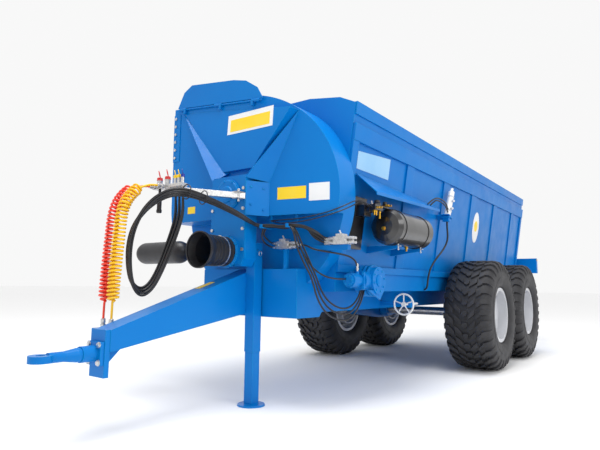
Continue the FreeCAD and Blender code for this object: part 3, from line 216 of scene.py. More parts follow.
def paint(name, colour, deep, highlight_and_wear, coat=0.35, shine=0.5):
    """Sprayed gloss paint: slow drift of colour, orange peel, and edges lightened in patches by a painted
    highlight that partly stands for wear.
    """
    s = Surface(name, 0.35)
    edge = s.edges(0.004)
    drift = s.ranged(s.noise(1.1, 4.0), 0.32, 0.7)
    tone = s.mix(drift, deep, colour)
    # edges lightened in noise patches: painted highlight, partly wear
    lit_worn_patch = s.times(edge, s.ranged(s.noise(7.0), 0.3, 0.6))
    tone = s.mix(lit_worn_patch, tone, highlight_and_wear)
    s.bump(s.noise(160.0, 2.0), 0.05, 0.001)
    s.shader.inputs["Coat Weight"].default_value = coat
    s.shader.inputs["Coat Roughness"].default_value = 0.12
    s.shader.inputs["Specular IOR Level"].default_value = shine
    return s.done(tone, s.ranged(s.noise(5.0), 0.3, 0.7, 0.28, 0.45))


def metal(name, light_tone, dark_tone, roughness, bump=0.06):
    """Plated, ground or cast metal with uneven brightness and roughness."""
    s = Surface(name, roughness, 1.0)
    s.edges(0.002)
    streak = s.noise(70.0, 3.0, 0.6)
    tone = s.mix(s.ranged(streak, 0.35, 0.65), dark_tone, light_tone)
    s.bump(streak, bump, 0.001)
    return s.done(tone, s.ranged(s.noise(9.0), 0.3, 0.7, roughness * 0.75, min(1.0, roughness * 1.3)))


def rubber(name, colour, dusty, roughness=0.7, grain=220.0, bump=0.15, share=0.5):
    """Moulded rubber or plastic with a fine grain and a little dust in patches."""
    s = Surface(name, roughness)
    dust = s.times(s.ranged(s.noise(6.0, 5.0), 0.45, 0.75), share)
    s.bump(s.noise(grain, 3.0), bump, 0.0008)
    sheen = s.ranged(s.noise(14.0), 0.3, 0.7, roughness * 0.85, roughness * 1.1)
    return s.done(s.mix(dust, colour, dusty), sheen)


def lens(name, colour):
    """Lamp lens with fine ribs."""
    s = Surface(name, 0.15)
    wave = s.nodes.new("ShaderNodeTexWave")
    wave.inputs["Scale"].default_value = 60.0
    s.link(s.place, wave.inputs["Vector"])
    s.bump(wave.outputs["Fac"], 0.4, 0.002)
    s.shader.inputs["Coat Weight"].default_value = 0.6
    return s.done(s.mix(s.ranged(s.noise(20.0), 0.3, 0.7), colour, tuple(c * 0.75 for c in colour)))


BLUE = (0.0, 0.180, 0.55)
BLUE_DEEP = (0.0, 0.155, 0.51)
# the lit cyan laid on the blue paint's edges: a painted highlight, partly wear
BLUE_EDGE_HIGHLIGHT = (0.0, 0.34, 0.66)

# in each paint the third colour lightens the edges in patches: painted highlight, partly wear
LOOKS = {
    "blue_paint": (paint, BLUE, BLUE_DEEP, BLUE_EDGE_HIGHLIGHT, 0.06, 0.14),
    "tyre_rubber": (rubber, (0.014, 0.014, 0.017), (0.05, 0.048, 0.052), 0.62, 140.0, 0.25),
    "rim_silver": (paint, (0.62, 0.63, 0.66), (0.50, 0.51, 0.54), (0.8, 0.8, 0.82), 0.3),
    "bare_steel": (metal, (0.72, 0.72, 0.71), (0.50, 0.50, 0.51), 0.34),
    "rotor_steel": (metal, (0.40, 0.38, 0.36), (0.22, 0.20, 0.18), 0.5, 0.2),
    "tank_black": (paint, (0.006, 0.006, 0.008), (0.004, 0.004, 0.005), (0.03, 0.03, 0.03), 0.8),
    "black_plastic": (rubber, (0.010, 0.010, 0.013), (0.03, 0.03, 0.033), 0.42, 300.0, 0.1),
    "cap_plastic": (rubber, (0.62, 0.02, 0.02), (0.7, 0.10, 0.08), 0.4, 300.0, 0.08),
    "white_paint": (paint, (0.82, 0.82, 0.80), (0.72, 0.72, 0.71), (0.9, 0.9, 0.9)),
    "hose_red": (rubber, (0.86, 0.035, 0.01), (0.9, 0.12, 0.06), 0.32, 200.0, 0.05, 0.3),
    "hose_yellow": (rubber, (0.90, 0.50, 0.0), (0.85, 0.55, 0.08), 0.32, 200.0, 0.05, 0.3),
    "hose_black": (rubber, (0.006, 0.006, 0.008), (0.025, 0.025, 0.028), 0.38, 400.0, 0.2),
    "lamp_red": (lens, (0.55, 0.01, 0.01)),
    "lamp_amber": (lens, (0.95, 0.55, 0.02)),
    "sign_yellow": (rubber, (0.90, 0.62, 0.01), (0.85, 0.66, 0.1), 0.4, 60.0, 0.02, 0.3),
    "sign_white": (rubber, (0.80, 0.81, 0.82), (0.7, 0.71, 0.72), 0.4, 60.0, 0.02, 0.4),
    "pale_panel": (paint, (0.36, 0.62, 0.82), (0.22, 0.50, 0.78), (0.7, 0.8, 0.9), 0.6),
    "brass": (metal, (0.85, 0.48, 0.06), (0.6, 0.33, 0.04), 0.3),
    "cap_blue": (rubber, (0.01, 0.03, 0.30), (0.05, 0.08, 0.35), 0.4, 300.0, 0.08),
}
made_looks = {}


def look(name):
    """Material of this name, made the first time that it is asked for."""
    if name not in made_looks:
        maker, *values = LOOKS[name]
        made_looks[name] = maker(name, *values)
    return made_looks[name]


def dress_nodes():
    """Every CAD node gets the look of its own material slot."""
    for part in frame["record"]["subparts"]:
        mesh = frame["nodes"][part["node"]].data
        mesh.materials.clear()
        mesh.materials.append(look(part["material_slot"]))


# ------------------------------------------------------------------ mesh building


def low(node):
    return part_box(node)[0]


def high(node):
    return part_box(node)[1]


def middle(node):
    return (low(node) + high(node)) / 2


def frame_of(axis):
    """The axis at unit length and two directions square to it."""
    axis = Vector(axis).normalized()
    side = axis.cross(Vector(UP) if abs(axis.z) < 0.9 else Vector(BACK)).normalized()
    return axis, side, axis.cross(side)


UP, DOWN = (0, 0, 1), (0, 0, -1)
AHEAD, BACK, LEFT = (0, -1, 0), (0, 1, 0), (1, 0, 0)
TAPER = 0.001
WELD = 1e-6
ROUND_ANGLE = 40.0


def turns(count):
    """Equal angles round a full turn."""
    return [2 * math.pi * i / count for i in range(count)]


def stepped(*steps):
    """Lathe profile of plain steps, each (end, radius), with a taper of TAPER between two steps."""
    profile, start = [], 0.0
    for end, radius in steps:
        profile += [(start, radius), (end, radius)]
        start = end + TAPER
    return profile


class Form:
    """Points and faces of one piece, put together from simple solids."""

    def __init__(self):
        self.points = []
        self.faces = []

    def add(self, points, faces):
        start = len(self.points)
        self.points += [Vector(p) for p in points]
        self.faces += [[start + i for i in face] for face in faces]

    def ring_solid(self, rings, capped=True):
        """Skin over equal rings of points, closed at both ends if it is capped."""
        n = len(rings[0])
        faces = []
        for r in range(len(rings) - 1):
            for i in range(n):
                j = (i + 1) % n
                faces.append([r * n + i, r * n + j, (r + 1) * n + j, (r + 1) * n + i])
        if capped:
            faces.append(list(range(n))[::-1])
            faces.append([(len(rings) - 1) * n + i for i in range(n)])
        self.add([p for ring in rings for p in ring], faces)

    def block(self, corner, opposite):
        """Block between two opposite corners."""
        (x0, y0, z0), (x1, y1, z1) = corner, opposite
        self.ring_solid([[(x0, y0, z), (x1, y0, z), (x1, y1, z), (x0, y1, z)] for z in (z0, z1)])

    def slab(self, outline, push):
        """Flat outline pushed out along a vector."""
        outline = [Vector(p) for p in outline]
        self.ring_solid([outline, [p + Vector(push) for p in outline]])

    def lathe(self, base, axis, profile, count=24, capped=True):
        """Profile of (distance, radius) pairs turned round an axis."""
        along, side, other = frame_of(axis)
        base = Vector(base)
        self.ring_solid([[base + along * d + (side * math.cos(a) + other * math.sin(a)) * r
                          for a in turns(count)] for d, r in profile], capped)

    def rod(self, start, end, radius, count=16):
        """Round bar between two places."""
        span = Vector(end) - Vector(start)
        self.lathe(start, span, [(0, radius), (span.length, radius)], count)

    def bolt(self, place, axis, size):
        """Hexagon head on a washer, standing on a face."""
        washer = size * 0.12
        self.lathe(place, axis, [(0, size * 0.72), (washer, size * 0.72)], 16)
        self.lathe(Vector(place) + Vector(axis).normalized() * washer, axis,
                   [(0, size * 0.55), (size * 0.36, size * 0.55), (size * 0.44, size * 0.46)], 6)

    def ring(self, centre, axis, radius, wire, count=24):
        """Round ring of wire, given the wire's own radius."""
        along, side, other = frame_of(axis)
        rings = []
        for a in turns(count) + [2 * math.pi]:
            out = side * math.cos(a) + other * math.sin(a)
            rings.append([Vector(centre) + out * (radius + wire * math.cos(b)) + along * wire * math.sin(b)
                          for b in turns(8)])
        self.ring_solid(rings, False)

    def mesh(self, name, look_name, smooth):
        """Mesh with welded points, faces outwards, and edges kept sharp past the smooth angle."""
        data = bpy.data.meshes.new(name)
        data.from_pydata(self.points, [], self.faces)
        data.validate()
        data.materials.append(look(look_name))
        work = bmesh.new()
        work.from_mesh(data)
        bmesh.ops.remove_doubles(work, verts=work.verts, dist=WELD)
        bmesh.ops.recalc_face_normals(work, faces=work.faces)
        for face in work.faces:
            face.smooth = True
        for edge in work.edges:
            if len(edge.link_faces) == 2 and edge.calc_face_angle(0.0) > math.radians(smooth):
                edge.smooth = False
        work.to_mesh(data)
        work.free()
        return data

    def piece(self, name, look_name, body="root", bevel=0.0, segments=2, smooth=30.0):
        """Object made of this form, riding on its body."""
        obj = bpy.data.objects.new(name, self.mesh(name, look_name, smooth))
        scene.collection.objects.link(obj)
        if bevel:
            round_edges(obj, bevel, segments, ROUND_ANGLE)
        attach(obj, body)
        return obj


def round_edges(obj, width, segments, angle):
    """Bevels the edges that are sharper than the angle."""
    rounding = obj.modifiers.new("rounding", "BEVEL")
    rounding.width = width
    rounding.segments = segments
    rounding.limit_method = "ANGLE"
    rounding.angle_limit = math.radians(angle)


# ------------------------------------------------------------------ hoses


HOSE_STEPS = 12
GUIDE_STEPS = 24
COIL_STEPS = 4


def spline(name, points, diameter, look_name):
    """Smooth NURBS hose with these control points."""
    data = bpy.data.curves.new(name, "CURVE")
    data.dimensions = "3D"
    data.bevel_depth = diameter / 2
    data.bevel_resolution = 4
    data.resolution_u = HOSE_STEPS
    data.use_fill_caps = True
    line = data.splines.new("NURBS")
    line.points.add(len(points) - 1)
    for point, place in zip(line.points, points):
        point.co = (*place, 1.0)
    line.order_u = 3
    line.use_endpoint_u = True
    line.resolution_u = HOSE_STEPS
    data.materials.append(look(look_name))
    piece = bpy.data.objects.new(name, data)
    scene.collection.objects.link(piece)
    return piece


def followed(points):
    """Places and distances along the smooth line that these control points give."""
    guide = spline("guide", points, 0.0, "hose_black")
    guide.data.use_fill_caps = False
    guide.data.resolution_u = GUIDE_STEPS
    guide.data.splines[0].resolution_u = GUIDE_STEPS
    bpy.context.view_layer.update()
    mesh = bpy.data.meshes.new_from_object(guide.evaluated_get(bpy.context.evaluated_depsgraph_get()))
    line = [v.co.copy() for v in mesh.vertices]
    bpy.data.meshes.remove(mesh)
    bpy.data.objects.remove(guide)
    travel = [0.0]
    for a, b in zip(line, line[1:]):
        travel.append(travel[-1] + (b - a).length)
    return line, travel


def at_distance(line, travel, distance):
    """Place and direction at a distance along a followed line."""
    i = 1
    while i < len(travel) - 1 and travel[i] < distance:
        i += 1
    span = line[i] - line[i - 1]
    share = (distance - travel[i - 1]) / span.length
    return line[i - 1] + span * share, span.normalized()


def length_of(points):
    """Length of the smooth line that these control points give."""
    return followed(points)[1][-1]


def crimp(name, place, direction, diameter):
    """Steel ferrule with its rings on a hose's end, pointing back along the hose."""
    r = diameter / 2
    form = Form()
    form.lathe(place, direction, stepped((0.010, r * 1.25), (0.026, r * 1.7)) + [
        (0.028, r * 1.35), (0.032, r * 1.35), (0.034, r * 1.6), (0.058, r * 1.5), (0.062, r * 1.1)], 12)
    return form.piece(name, "bare_steel")


def hose(name, points, diameter, node=None):
    """Black free hose; one that stands for a CAD node has a ferrule at each end."""
    piece = spline(name, points, diameter, "hose_black")
    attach(piece, "root")
    ferrules = []
    if node:
        first, second, third, last = (Vector(points[i]) for i in (0, 1, -2, -1))
        ferrules = [crimp(name + "_ferrule_a", first, second - first, diameter),
                    crimp(name + "_ferrule_b", last, third - last, diameter)]
        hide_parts(node)
    length_of(points)


AXES = {joint["name"]: Vector(joint["pos_m"]) for joint in frame["joints"] if "pos_m" in joint}
ROTOR_HEIGHT = AXES["rotor_spin"].z
INPUT_HEIGHT = AXES["pto_spin"].z
EYE_HEIGHT = AXES["hitch_swivel"].z
FLOOR_SHAFT = AXES["floor_front_spin"]
RAIL_FRONT = low("hose_arm").y
RAIL_MIDDLE = 1.640
AIR_PLACES = (-0.215, -0.125)
AIR_SHELF = 0.640
HOUSING_FRONT = low("rotor_housing").y


def air_route(x):
    """Hanging curve from the coupler rail down to the bracket on the drawbar's right side."""
    front = RAIL_FRONT
    rail = RAIL_MIDDLE
    return [
        (x, front, rail), (x, front - 0.113, rail), (x, front - 0.217, rail - 0.043),
        (x, front - 0.297, rail - 0.123), (x, front - 0.340, rail - 0.227), (x, front - 0.352, rail - 0.400),
        (x, front - 0.366, rail - 0.620), (x, front - 0.374, rail - 0.840), (x, front - 0.374, AIR_SHELF),
    ]


HELIX_RADIUS = 0.036
AIR_LINE = 0.0155
GLAND = AIR_LINE * 1.3
TURNS = 33
TURN_POINTS = 12
LEAD = 0.21
TAIL = 0.17


def air_hose(name, x, look_name, phase):
    """Air line coiled round its route, with a straight lead and tail."""
    line, travel = followed(air_route(x))
    whole = travel[-1]
    start, end = LEAD, whole - TAIL
    side = Vector(LEFT)
    points = [line[0]] + [at_distance(line, travel, start * i / 6)[0] for i in range(1, 5)]
    steps = TURNS * TURN_POINTS
    for i in range(steps + 1):
        share = i / steps
        place, along = at_distance(line, travel, start + (end - start) * share)
        other = along.cross(side).normalized()
        a = phase + 2 * math.pi * i / TURN_POINTS
        radius = HELIX_RADIUS * min(1.0, share * TURNS, (1.0 - share) * TURNS)
        points.append(place + (side * math.cos(a) + other * math.sin(a)) * radius)
    points += [at_distance(line, travel, end + (whole - end) * i / 6)[0] for i in range(2, 7)]
    points = [tuple(p) for p in points]
    piece = spline(name, points, AIR_LINE, look_name)
    piece.data.resolution_u = COIL_STEPS
    piece.data.splines[0].resolution_u = COIL_STEPS
    piece.data.bevel_resolution = 2
    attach(piece, "root")
    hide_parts(name)
    ends = [crimp(name + "_gland_a", points[0], AHEAD, GLAND),
            crimp(name + "_gland_b", points[-1], UP, GLAND)]
    length_of(points)


SIDE_VALVE = tuple(high("spool_valves") - Vector((0.155, 0.070, 0.060)))
FRONT_VALVE = (0.330, -2.280, 1.215)
LOOP_POINTS = 15
HOOK_REST = 1.398
HOOKS = ((0.280, 0.060), (0.500, 0.105))
STRAND = 0.017
SAG = 0.012
OIL_LINE, MOTOR_LINE = 0.016, 0.014
VALVE_LINE, PANEL_LINE, FEED_LINE, LOOP_LINE = 0.013, 0.009, 0.020, 0.015


def oil_route(k):
    """Big loop in front of the gearbox, then over both hooks to the side valve."""
    front = RAIL_FRONT
    rail = RAIL_MIDDLE - 0.012
    x, y, z = SIDE_VALVE
    rest = HOOK_REST
    ax, ay = HOOKS[0][0], HOUSING_FRONT + HOOKS[0][1] - 0.052 - 0.026 * k
    bx, by = HOOKS[1][0], HOUSING_FRONT + HOOKS[1][1] - 0.052 - 0.026 * k
    return [
        (0.040 * k, front + 0.040, rail), (0.040 * k, front + 0.040, rail - 0.075),
        (-0.020 + 0.038 * k, front + 0.072, rail - 0.190), (-0.070 + 0.034 * k, front + 0.072, rail - 0.328),
        (-0.098 + 0.030 * k, front + 0.036, rail - 0.478),
        (-0.104 + 0.030 * k, front - 0.022 - 0.004 * k, rail - 0.618 - 0.004 * k),
        (-0.106 + 0.030 * k, front - 0.092 - 0.006 * k, rail - 0.728 - 0.012 * k),
        (-0.106 + 0.030 * k, front - 0.176 - 0.012 * k, rail - 0.770 - 0.020 * k),
        (-0.106 + 0.030 * k, front - 0.250 - 0.012 * k, rail - 0.708 - 0.016 * k),
        (-0.104 + 0.030 * k, front - 0.286 - 0.012 * k, rail - 0.578 - 0.006 * k),
        (-0.098 + 0.030 * k, front - 0.296 - 0.012 * k, rail - 0.428),
        (-0.070 + 0.030 * k, front - 0.276 - 0.012 * k, rail - 0.283 + 0.006 * k),
        (-0.010 + 0.030 * k, front - 0.222 - 0.016 * k, rail - 0.160 + 0.014 * k),
        (0.060 + 0.030 * k, front - 0.142 - 0.012 * k, rail - 0.078 + 0.018 * k),
        (0.105 + 0.030 * k, front - 0.045, rail - 0.048 + 0.014 * k),
        (0.120 + 0.028 * k, front + 0.080, rail - 0.056 + 0.008 * k),
        (0.134 + 0.028 * k, front + 0.205, rail - 0.078 + 0.004 * k),
        (0.152 + 0.028 * k, front + 0.325, rail - 0.108),
        (0.196 + 0.024 * k, front + 0.446 - 0.004 * k, rail - 0.156),
        (0.226 + 0.018 * k, front + 0.535 - 0.014 * k, rail - 0.198),
        (ax - 0.054 + 0.014 * k, ay - 0.024 - 0.002 * k, rest - 0.004),
        (ax + 0.055, ay + 0.014, rest + 0.002), (ax + 0.135, ay + 0.034, rest - 0.016),
        (bx, by, rest), (bx + 0.100, by + 0.040, rest - 0.012),
        (x - 0.160 + 0.020 * k, y - 0.010 - 0.006 * k, z + 0.090 + 0.016 * k),
        (x - 0.110 + 0.004 * k, y + 0.027 - 0.006 * k, z + 0.043 + 0.019 * k),
        (x - 0.060, y + 0.035, z + 0.030 + 0.018 * k), (x - 0.035, y + 0.035, z + 0.030 + 0.018 * k),
    ]


def inner_route(k):
    """The same loop one hose further in, and under the others as far as the valve."""
    route = [Vector(p) for p in oil_route(k)]
    centre = Vector((0.0, RAIL_FRONT - 0.140, RAIL_MIDDLE - 0.400))
    for i, place in enumerate(route):
        if 1 < i < LOOP_POINTS:
            inwards = centre - place
            inwards.x = 0.0
            route[i] = place + inwards.normalized() * STRAND
        elif LOOP_POINTS <= i < len(route) - 3:
            route[i] = place - Vector((0.0, 0.0, SAG))
    return [tuple(place) for place in route]


def motor_route():
    """From the floor motor's port to the front valve."""
    motor_x, port, y = 0.784, 1.048, -1.893
    x, valve_y, z = FRONT_VALVE
    return [
        (motor_x + 0.052, y, port), (motor_x + 0.052, y, port + 0.064),
        (motor_x + 0.040, y - 0.060, port + 0.106), (motor_x + 0.024, y - 0.157, port + 0.124),
        (motor_x - 0.044, y - 0.270, port + 0.140), (motor_x - 0.140, y - 0.335, port + 0.158),
        (x + 0.250, valve_y + 0.035, z + 0.030), (x + 0.155, valve_y + 0.035, z + 0.030),
    ]


def hoses():
    """The hoses that have a CAD node, and the big loop's inner strands."""
    air_hose("air_hose_red", AIR_PLACES[0], "hose_red", 0.0)
    air_hose("air_hose_yellow", AIR_PLACES[1], "hose_yellow", 1.1)
    for i, k in enumerate((-1.0, 0.0, 1.0)):
        hose("oil_hose_line_%d" % (i + 1), oil_route(k), OIL_LINE, "oil_hose_%d" % (i + 1))
    for i, k in enumerate((-0.95, 0.05, 1.0)):
        hose("oil_loop_line_%d" % (i + 1), inner_route(k), OIL_LINE)
    hose("motor_hose_line", motor_route(), MOTOR_LINE, "motor_hose")


# ------------------------------------------------------------------ tyres

TYRE_RADIUS = (high("tyre_left_front").z - low("tyre_left_front").z) / 2
TYRE_HALF = (high("tyre_left_front").x - low("tyre_left_front").x) / 2
GROOVE = 0.022
PITCHES = 32
SKIN_STEPS = 120
BLOCK_INSET, BLOCK_FLARE, BLOCK_ROOT = 0.0035, 0.001, 0.010


def crown(x):
    """Tread radius at a distance from the tyre's middle plane."""
    x = abs(x)
    steps = [(0.0, TYRE_RADIUS), (TYRE_HALF - 0.095, TYRE_RADIUS - 0.004),
             (TYRE_HALF - 0.048, TYRE_RADIUS * 0.972), (TYRE_HALF - 0.022, TYRE_RADIUS * 0.93),
             (TYRE_HALF - 0.005, TYRE_RADIUS * 0.84)]
    for (x0, r0), (x1, r1) in zip(steps, steps[1:]):
        if x <= x1:
            return r0 + (r1 - r0) * (x - x0) / (x1 - x0)
    return steps[-1][1]


def tyre_skin():
    """Carcass outline from one bead to the other, as (x, radius), with the side's raised bands."""
    lip = TYRE_RADIUS * 0.497
    side = [(0.0523, lip - 0.022), (0.0523, lip + 0.006), (0.030, lip + 0.016), (0.012, lip + 0.046),
            (0.004, lip + 0.085), (0.0015, lip + 0.118), (0.0015, lip + 0.124), (0.006, lip + 0.130),
            (0.006, lip + 0.150), (0.009, TYRE_RADIUS * 0.80), (0.018, TYRE_RADIUS * 0.86),
            (0.034, TYRE_RADIUS * 0.91), (0.062, TYRE_RADIUS - GROOVE - 0.012),
            (0.10, TYRE_RADIUS - GROOVE - 0.003), (TYRE_HALF * 0.65, TYRE_RADIUS - GROOVE)]
    side = [(TYRE_HALF - inset, radius) for inset, radius in side]
    return side + [(0.0, TYRE_RADIUS - GROOVE)] + [(-x, radius) for x, radius in reversed(side)]


def tread_block(form, angle, mirror, stations):
    """One tread block: stations of (x, start, end), with start and end measured round the tread."""
    rings = []
    for x, start, end in stations:
        top = crown(x)
        foot = top - GROOVE - BLOCK_ROOT
        corners = [(foot, start - BLOCK_FLARE), (top, start + BLOCK_INSET)]
        corners += [(top, end - BLOCK_INSET), (foot, end + BLOCK_FLARE)]
        ring = []
        for radius, along in corners:
            turn = angle + along / TYRE_RADIUS
            ring.append((mirror * x, -radius * math.cos(turn), radius * math.sin(turn)))
        rings.append(ring)
    form.ring_solid(rings)


def tyre_form():
    """Carcass with its blocks: a middle row, and two slanted rows at each side, half a pitch apart."""
    form = Form()
    skin = tyre_skin()
    n = len(skin)
    points = [(x, -r * math.cos(a), r * math.sin(a)) for a in turns(SKIN_STEPS) for x, r in skin]
    faces = [[i * n + j, ((i + 1) % SKIN_STEPS) * n + j, ((i + 1) % SKIN_STEPS) * n + j + 1, i * n + j + 1]
             for i in range(SKIN_STEPS) for j in range(n - 1)]
    form.add(points, faces)
    middle_block = [(-0.030, 0.010, 0.052), (-0.004, -0.012, 0.058), (0.004, -0.012, 0.058),
                    (0.030, 0.010, 0.052)]
    inner_block = [(0.036, -0.040, 0.004), (0.075, -0.012, 0.052), (0.112, 0.022, 0.082)]
    outer_block = [(0.121, -0.035, 0.018), (0.150, -0.015, 0.048), (0.168, -0.002, 0.062),
                   (0.170, 0.012, 0.078), (0.214, 0.020, 0.086), (0.240, 0.022, 0.084),
                   (0.2565, 0.026, 0.078)]
    for a in turns(PITCHES):
        tread_block(form, a, 1, middle_block)
        for mirror, b in ((1, a), (-1, a + math.pi / PITCHES)):
            tread_block(form, b, mirror, inner_block)
            tread_block(form, b, mirror, outer_block)
    return form


def tyres():
    """Four treaded tyres that share one mesh."""
    mesh = tyre_form().mesh("tyre_mesh", "tyre_rubber", 32.0)
    for tag in ("left_front", "left_rear", "right_front", "right_rear"):
        node = "tyre_" + tag
        tyre = bpy.data.objects.new("treaded_" + node, mesh)
        scene.collection.objects.link(tyre)
        tyre.matrix_world = Matrix.Translation(middle(node))
        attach(tyre, "wheel_" + tag)
        round_edges(tyre, 0.0022, 1, 38.0)
        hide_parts(node)


# ------------------------------------------------------------------ small pieces


def dust_caps():
    """Dust caps on the couplers, each with its loop."""
    y = middle("coupler_caps").y
    base = low("coupler_caps").z
    air, oil = 0.023, 0.016
    caps = [(x, air, "cap_plastic") for x in AIR_PLACES]
    caps += [(-0.040, oil, "sign_yellow"), (0.0, oil, "sign_yellow"), (0.040, oil, "cap_blue")]
    for i, (x, radius, tint) in enumerate(caps):
        form = Form()
        form.lathe((x, y, base), UP, [(0, radius), (0.003, radius), (0.005, radius * 0.93),
                                      (0.019, radius * 0.9), (0.0225, radius * 0.75),
                                      (0.024, radius * 0.4)], 18)
        cap = form.piece("dust_cap_%d" % (i + 1), tint)
        if i == 0:
            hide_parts("coupler_caps")
        loop = Form()
        centre = (x + 0.012, y - 0.014, base + 0.016 + radius * 1.2)
        loop.ring(centre, (0.7, 0.7, 0.25), radius * 1.15, 0.0028)
        loop.piece("cap_loop_%d" % (i + 1), tint)


HOUSING_FOLD = 0.100
HOUSING_SWEEP = 0.160 / 0.762
HOOD_TOP = 2.500
HOOD_LEAN = 0.040 / 0.630


def face_y(x):
    """Front face of the rotor housing, which is swept back left of its fold."""
    return HOUSING_FRONT + max(0.0, x - HOUSING_FOLD) * HOUSING_SWEEP


def plate_y(z):
    """Front of the hood's middle plate, which leans forward towards its foot."""
    return HOUSING_FRONT - HOOD_LEAN * (HOOD_TOP - z)


SHEET_DEPTH = 0.0012


def sheet(name, tint, corners, depth=SHEET_DEPTH):
    """Thin plate with these front corners, laid on what is behind it."""
    corners = [Vector(c) for c in corners]
    out = (corners[1] - corners[0]).cross(corners[2] - corners[1]).normalized()
    if out.y > 0.01 or (abs(out.y) <= 0.01 and out.x < 0):
        out = -out
    form = Form()
    form.slab(corners, out * depth)
    return form.piece(name, tint)


FLOOR_HALF, KNEE = 0.680, 1.100
WALL_SLOPE = 0.190 / 1.300
BEAM_REAR, BEAM_TOP = -2.250, 1.060
BEAM_SLOPE = (1.060 - 0.652) / (3.547 - 2.250)


def wall_place(y, z, lift):
    """Place on the hopper's sloping left wall, lifted off it a little."""
    return (FLOOR_HALF + WALL_SLOPE * (z - KNEE) + lift, y, z)


def corners_of(left, bottom, right, top):
    """Corners of a rectangle, as pairs."""
    return [(left, bottom), (right, bottom), (right, top), (left, top)]


def oval(y, z, half_width, half_height, count, lift):
    """Outline of an oval on the hopper's left wall."""
    return [wall_place(y + half_width * math.cos(a), z + half_height * math.sin(a), lift)
            for a in turns(count)]


def signs():
    """Bare plates where the real machine has signs and labels."""
    film = 0.0006
    close, lift, over = 0.0002, 0.0005, 0.0016

    def on_hood(corners, away):
        return [(x, plate_y(z) - away, z) for x, z in corners]

    def on_cheek(corners):
        return [(x, face_y(x) - close, z) for x, z in corners]

    def on_beam(corners):
        return [(x, y, BEAM_TOP - (BEAM_REAR - y) * BEAM_SLOPE + 0.0004) for x, y in corners]

    sheet("sign_plate", "sign_white", on_hood(corners_of(-0.150, 2.192, 0.345, 2.362), close))
    sheet("sign_field", "sign_yellow", on_hood(corners_of(-0.118, 2.212, 0.313, 2.318), over), film)
    sheet("cheek_label_yellow", "sign_yellow", on_cheek(corners_of(0.350, 1.603, 0.592, 1.700)))
    sheet("cheek_label_white", "sign_white", on_cheek(corners_of(0.617, 1.580, 0.783, 1.716)))
    sheet("housing_label", "sign_yellow", on_cheek(corners_of(-0.635, 1.552, -0.540, 1.613)))
    form = Form()
    form.slab(on_beam(corners_of(-0.066, -2.762, -0.014, -2.604)), (0, 0, SHEET_DEPTH))
    form.piece("drawbar_label", "sign_yellow")
    panel = ((-1.838, 1.892), (-1.262, 1.892), (-1.262, 2.080), (-1.838, 2.035))
    sheet("wall_panel", "pale_panel", [wall_place(y, z, lift) for y, z in panel], 0.002)
    sheet("oval_label", "sign_white", oval(1.365, 1.716, 0.125, 0.200, 28, lift))
    sheet("oval_label_disc", "sign_yellow", oval(1.365, 1.730, 0.068, 0.070, 24, 0.0018), film)


def tank_bits():
    """Ports, drain, clamps and bolts of the air tank and its straps."""
    centre = middle("air_tank")
    front, foot = low("air_tank").y, low("air_tank").z
    form = Form()
    form.lathe((centre.x, front + 0.012, centre.z - 0.02), AHEAD, stepped((0.012, 0.020), (0.030, 0.013)), 6)
    drain = (centre.x, centre.y + 0.05, centre.z - 0.146)
    form.lathe(drain, DOWN, stepped((0.016, 0.016), (0.040, 0.010)), 6)
    form.piece("tank_ports", "brass")
    form = Form()
    x = centre.x + 0.060
    for y in (front + 0.148, front + 0.618):
        form.block((x - 0.035, y - 0.016, foot - 0.012), (x + 0.022, y + 0.016, foot - 0.006))
        form.bolt((x, y, foot - 0.034), DOWN, 0.016)
        form.rod((x, y, foot - 0.034), (x, y, foot + 0.012), 0.006, 10)
    form.piece("strap_clamps", "bare_steel")


def gearbox_bits():
    """Bearing covers, clevis and bolts on the gearbox's front."""
    face = low("gearbox_cover").y
    upper, lower, bore = 0.128, 0.132, 0.030

    def rim(radius):
        return [(0, radius), (0.012, radius), (0.014, radius - 0.010), (0.020, radius - 0.016)]

    form = Form()
    form.lathe((0, face, ROTOR_HEIGHT), AHEAD,
               rim(upper) + [(0.022, upper * 0.55), (0.034, upper * 0.5), (0.036, upper * 0.44)], 40)
    sleeve = [(0.020, bore + 0.012), (0.026, bore + 0.008), (0.026, bore), (0, bore), (0, lower)]
    form.lathe((0, face, INPUT_HEIGHT), AHEAD, rim(lower) + sleeve, 40, False)
    form.piece("bearing_covers", "blue_paint")
    form = Form()
    for z, radius, first in ((ROTOR_HEIGHT, 0.113, 0.3), (INPUT_HEIGHT, 0.118, 0.5)):
        for a in (first + turn for turn in turns(8)):
            form.bolt((radius * math.cos(a), face - 0.016, z + radius * math.sin(a)), AHEAD, 0.017)
    form.piece("bearing_bolts", "blue_paint")
    form = Form()
    x, y, arm_top = 0.155, face - 0.045, 1.664
    for z in (1.5940, 1.6444):
        form.block((x - 0.034, y - 0.038, z), (x + 0.030, face, z + 0.006))
    form.rod((x, y, 1.572), (x, y, arm_top), 0.009, 14)
    form.lathe((x, y, arm_top), UP, [(0, 0.014), (0.006, 0.014), (0.008, 0.010)], 14)
    form.piece("arm_clevis", "bare_steel", bevel=0.001, segments=1)


SHAFT_RADIUS, GROOVE_RADIUS = 0.01745, 0.0149
NECK_RADIUS, JOURNAL_RADIUS = 0.016, 0.022
SPLINE_LENGTH, BAR_LENGTH, NECK_LENGTH = 0.076, 0.041, 0.015


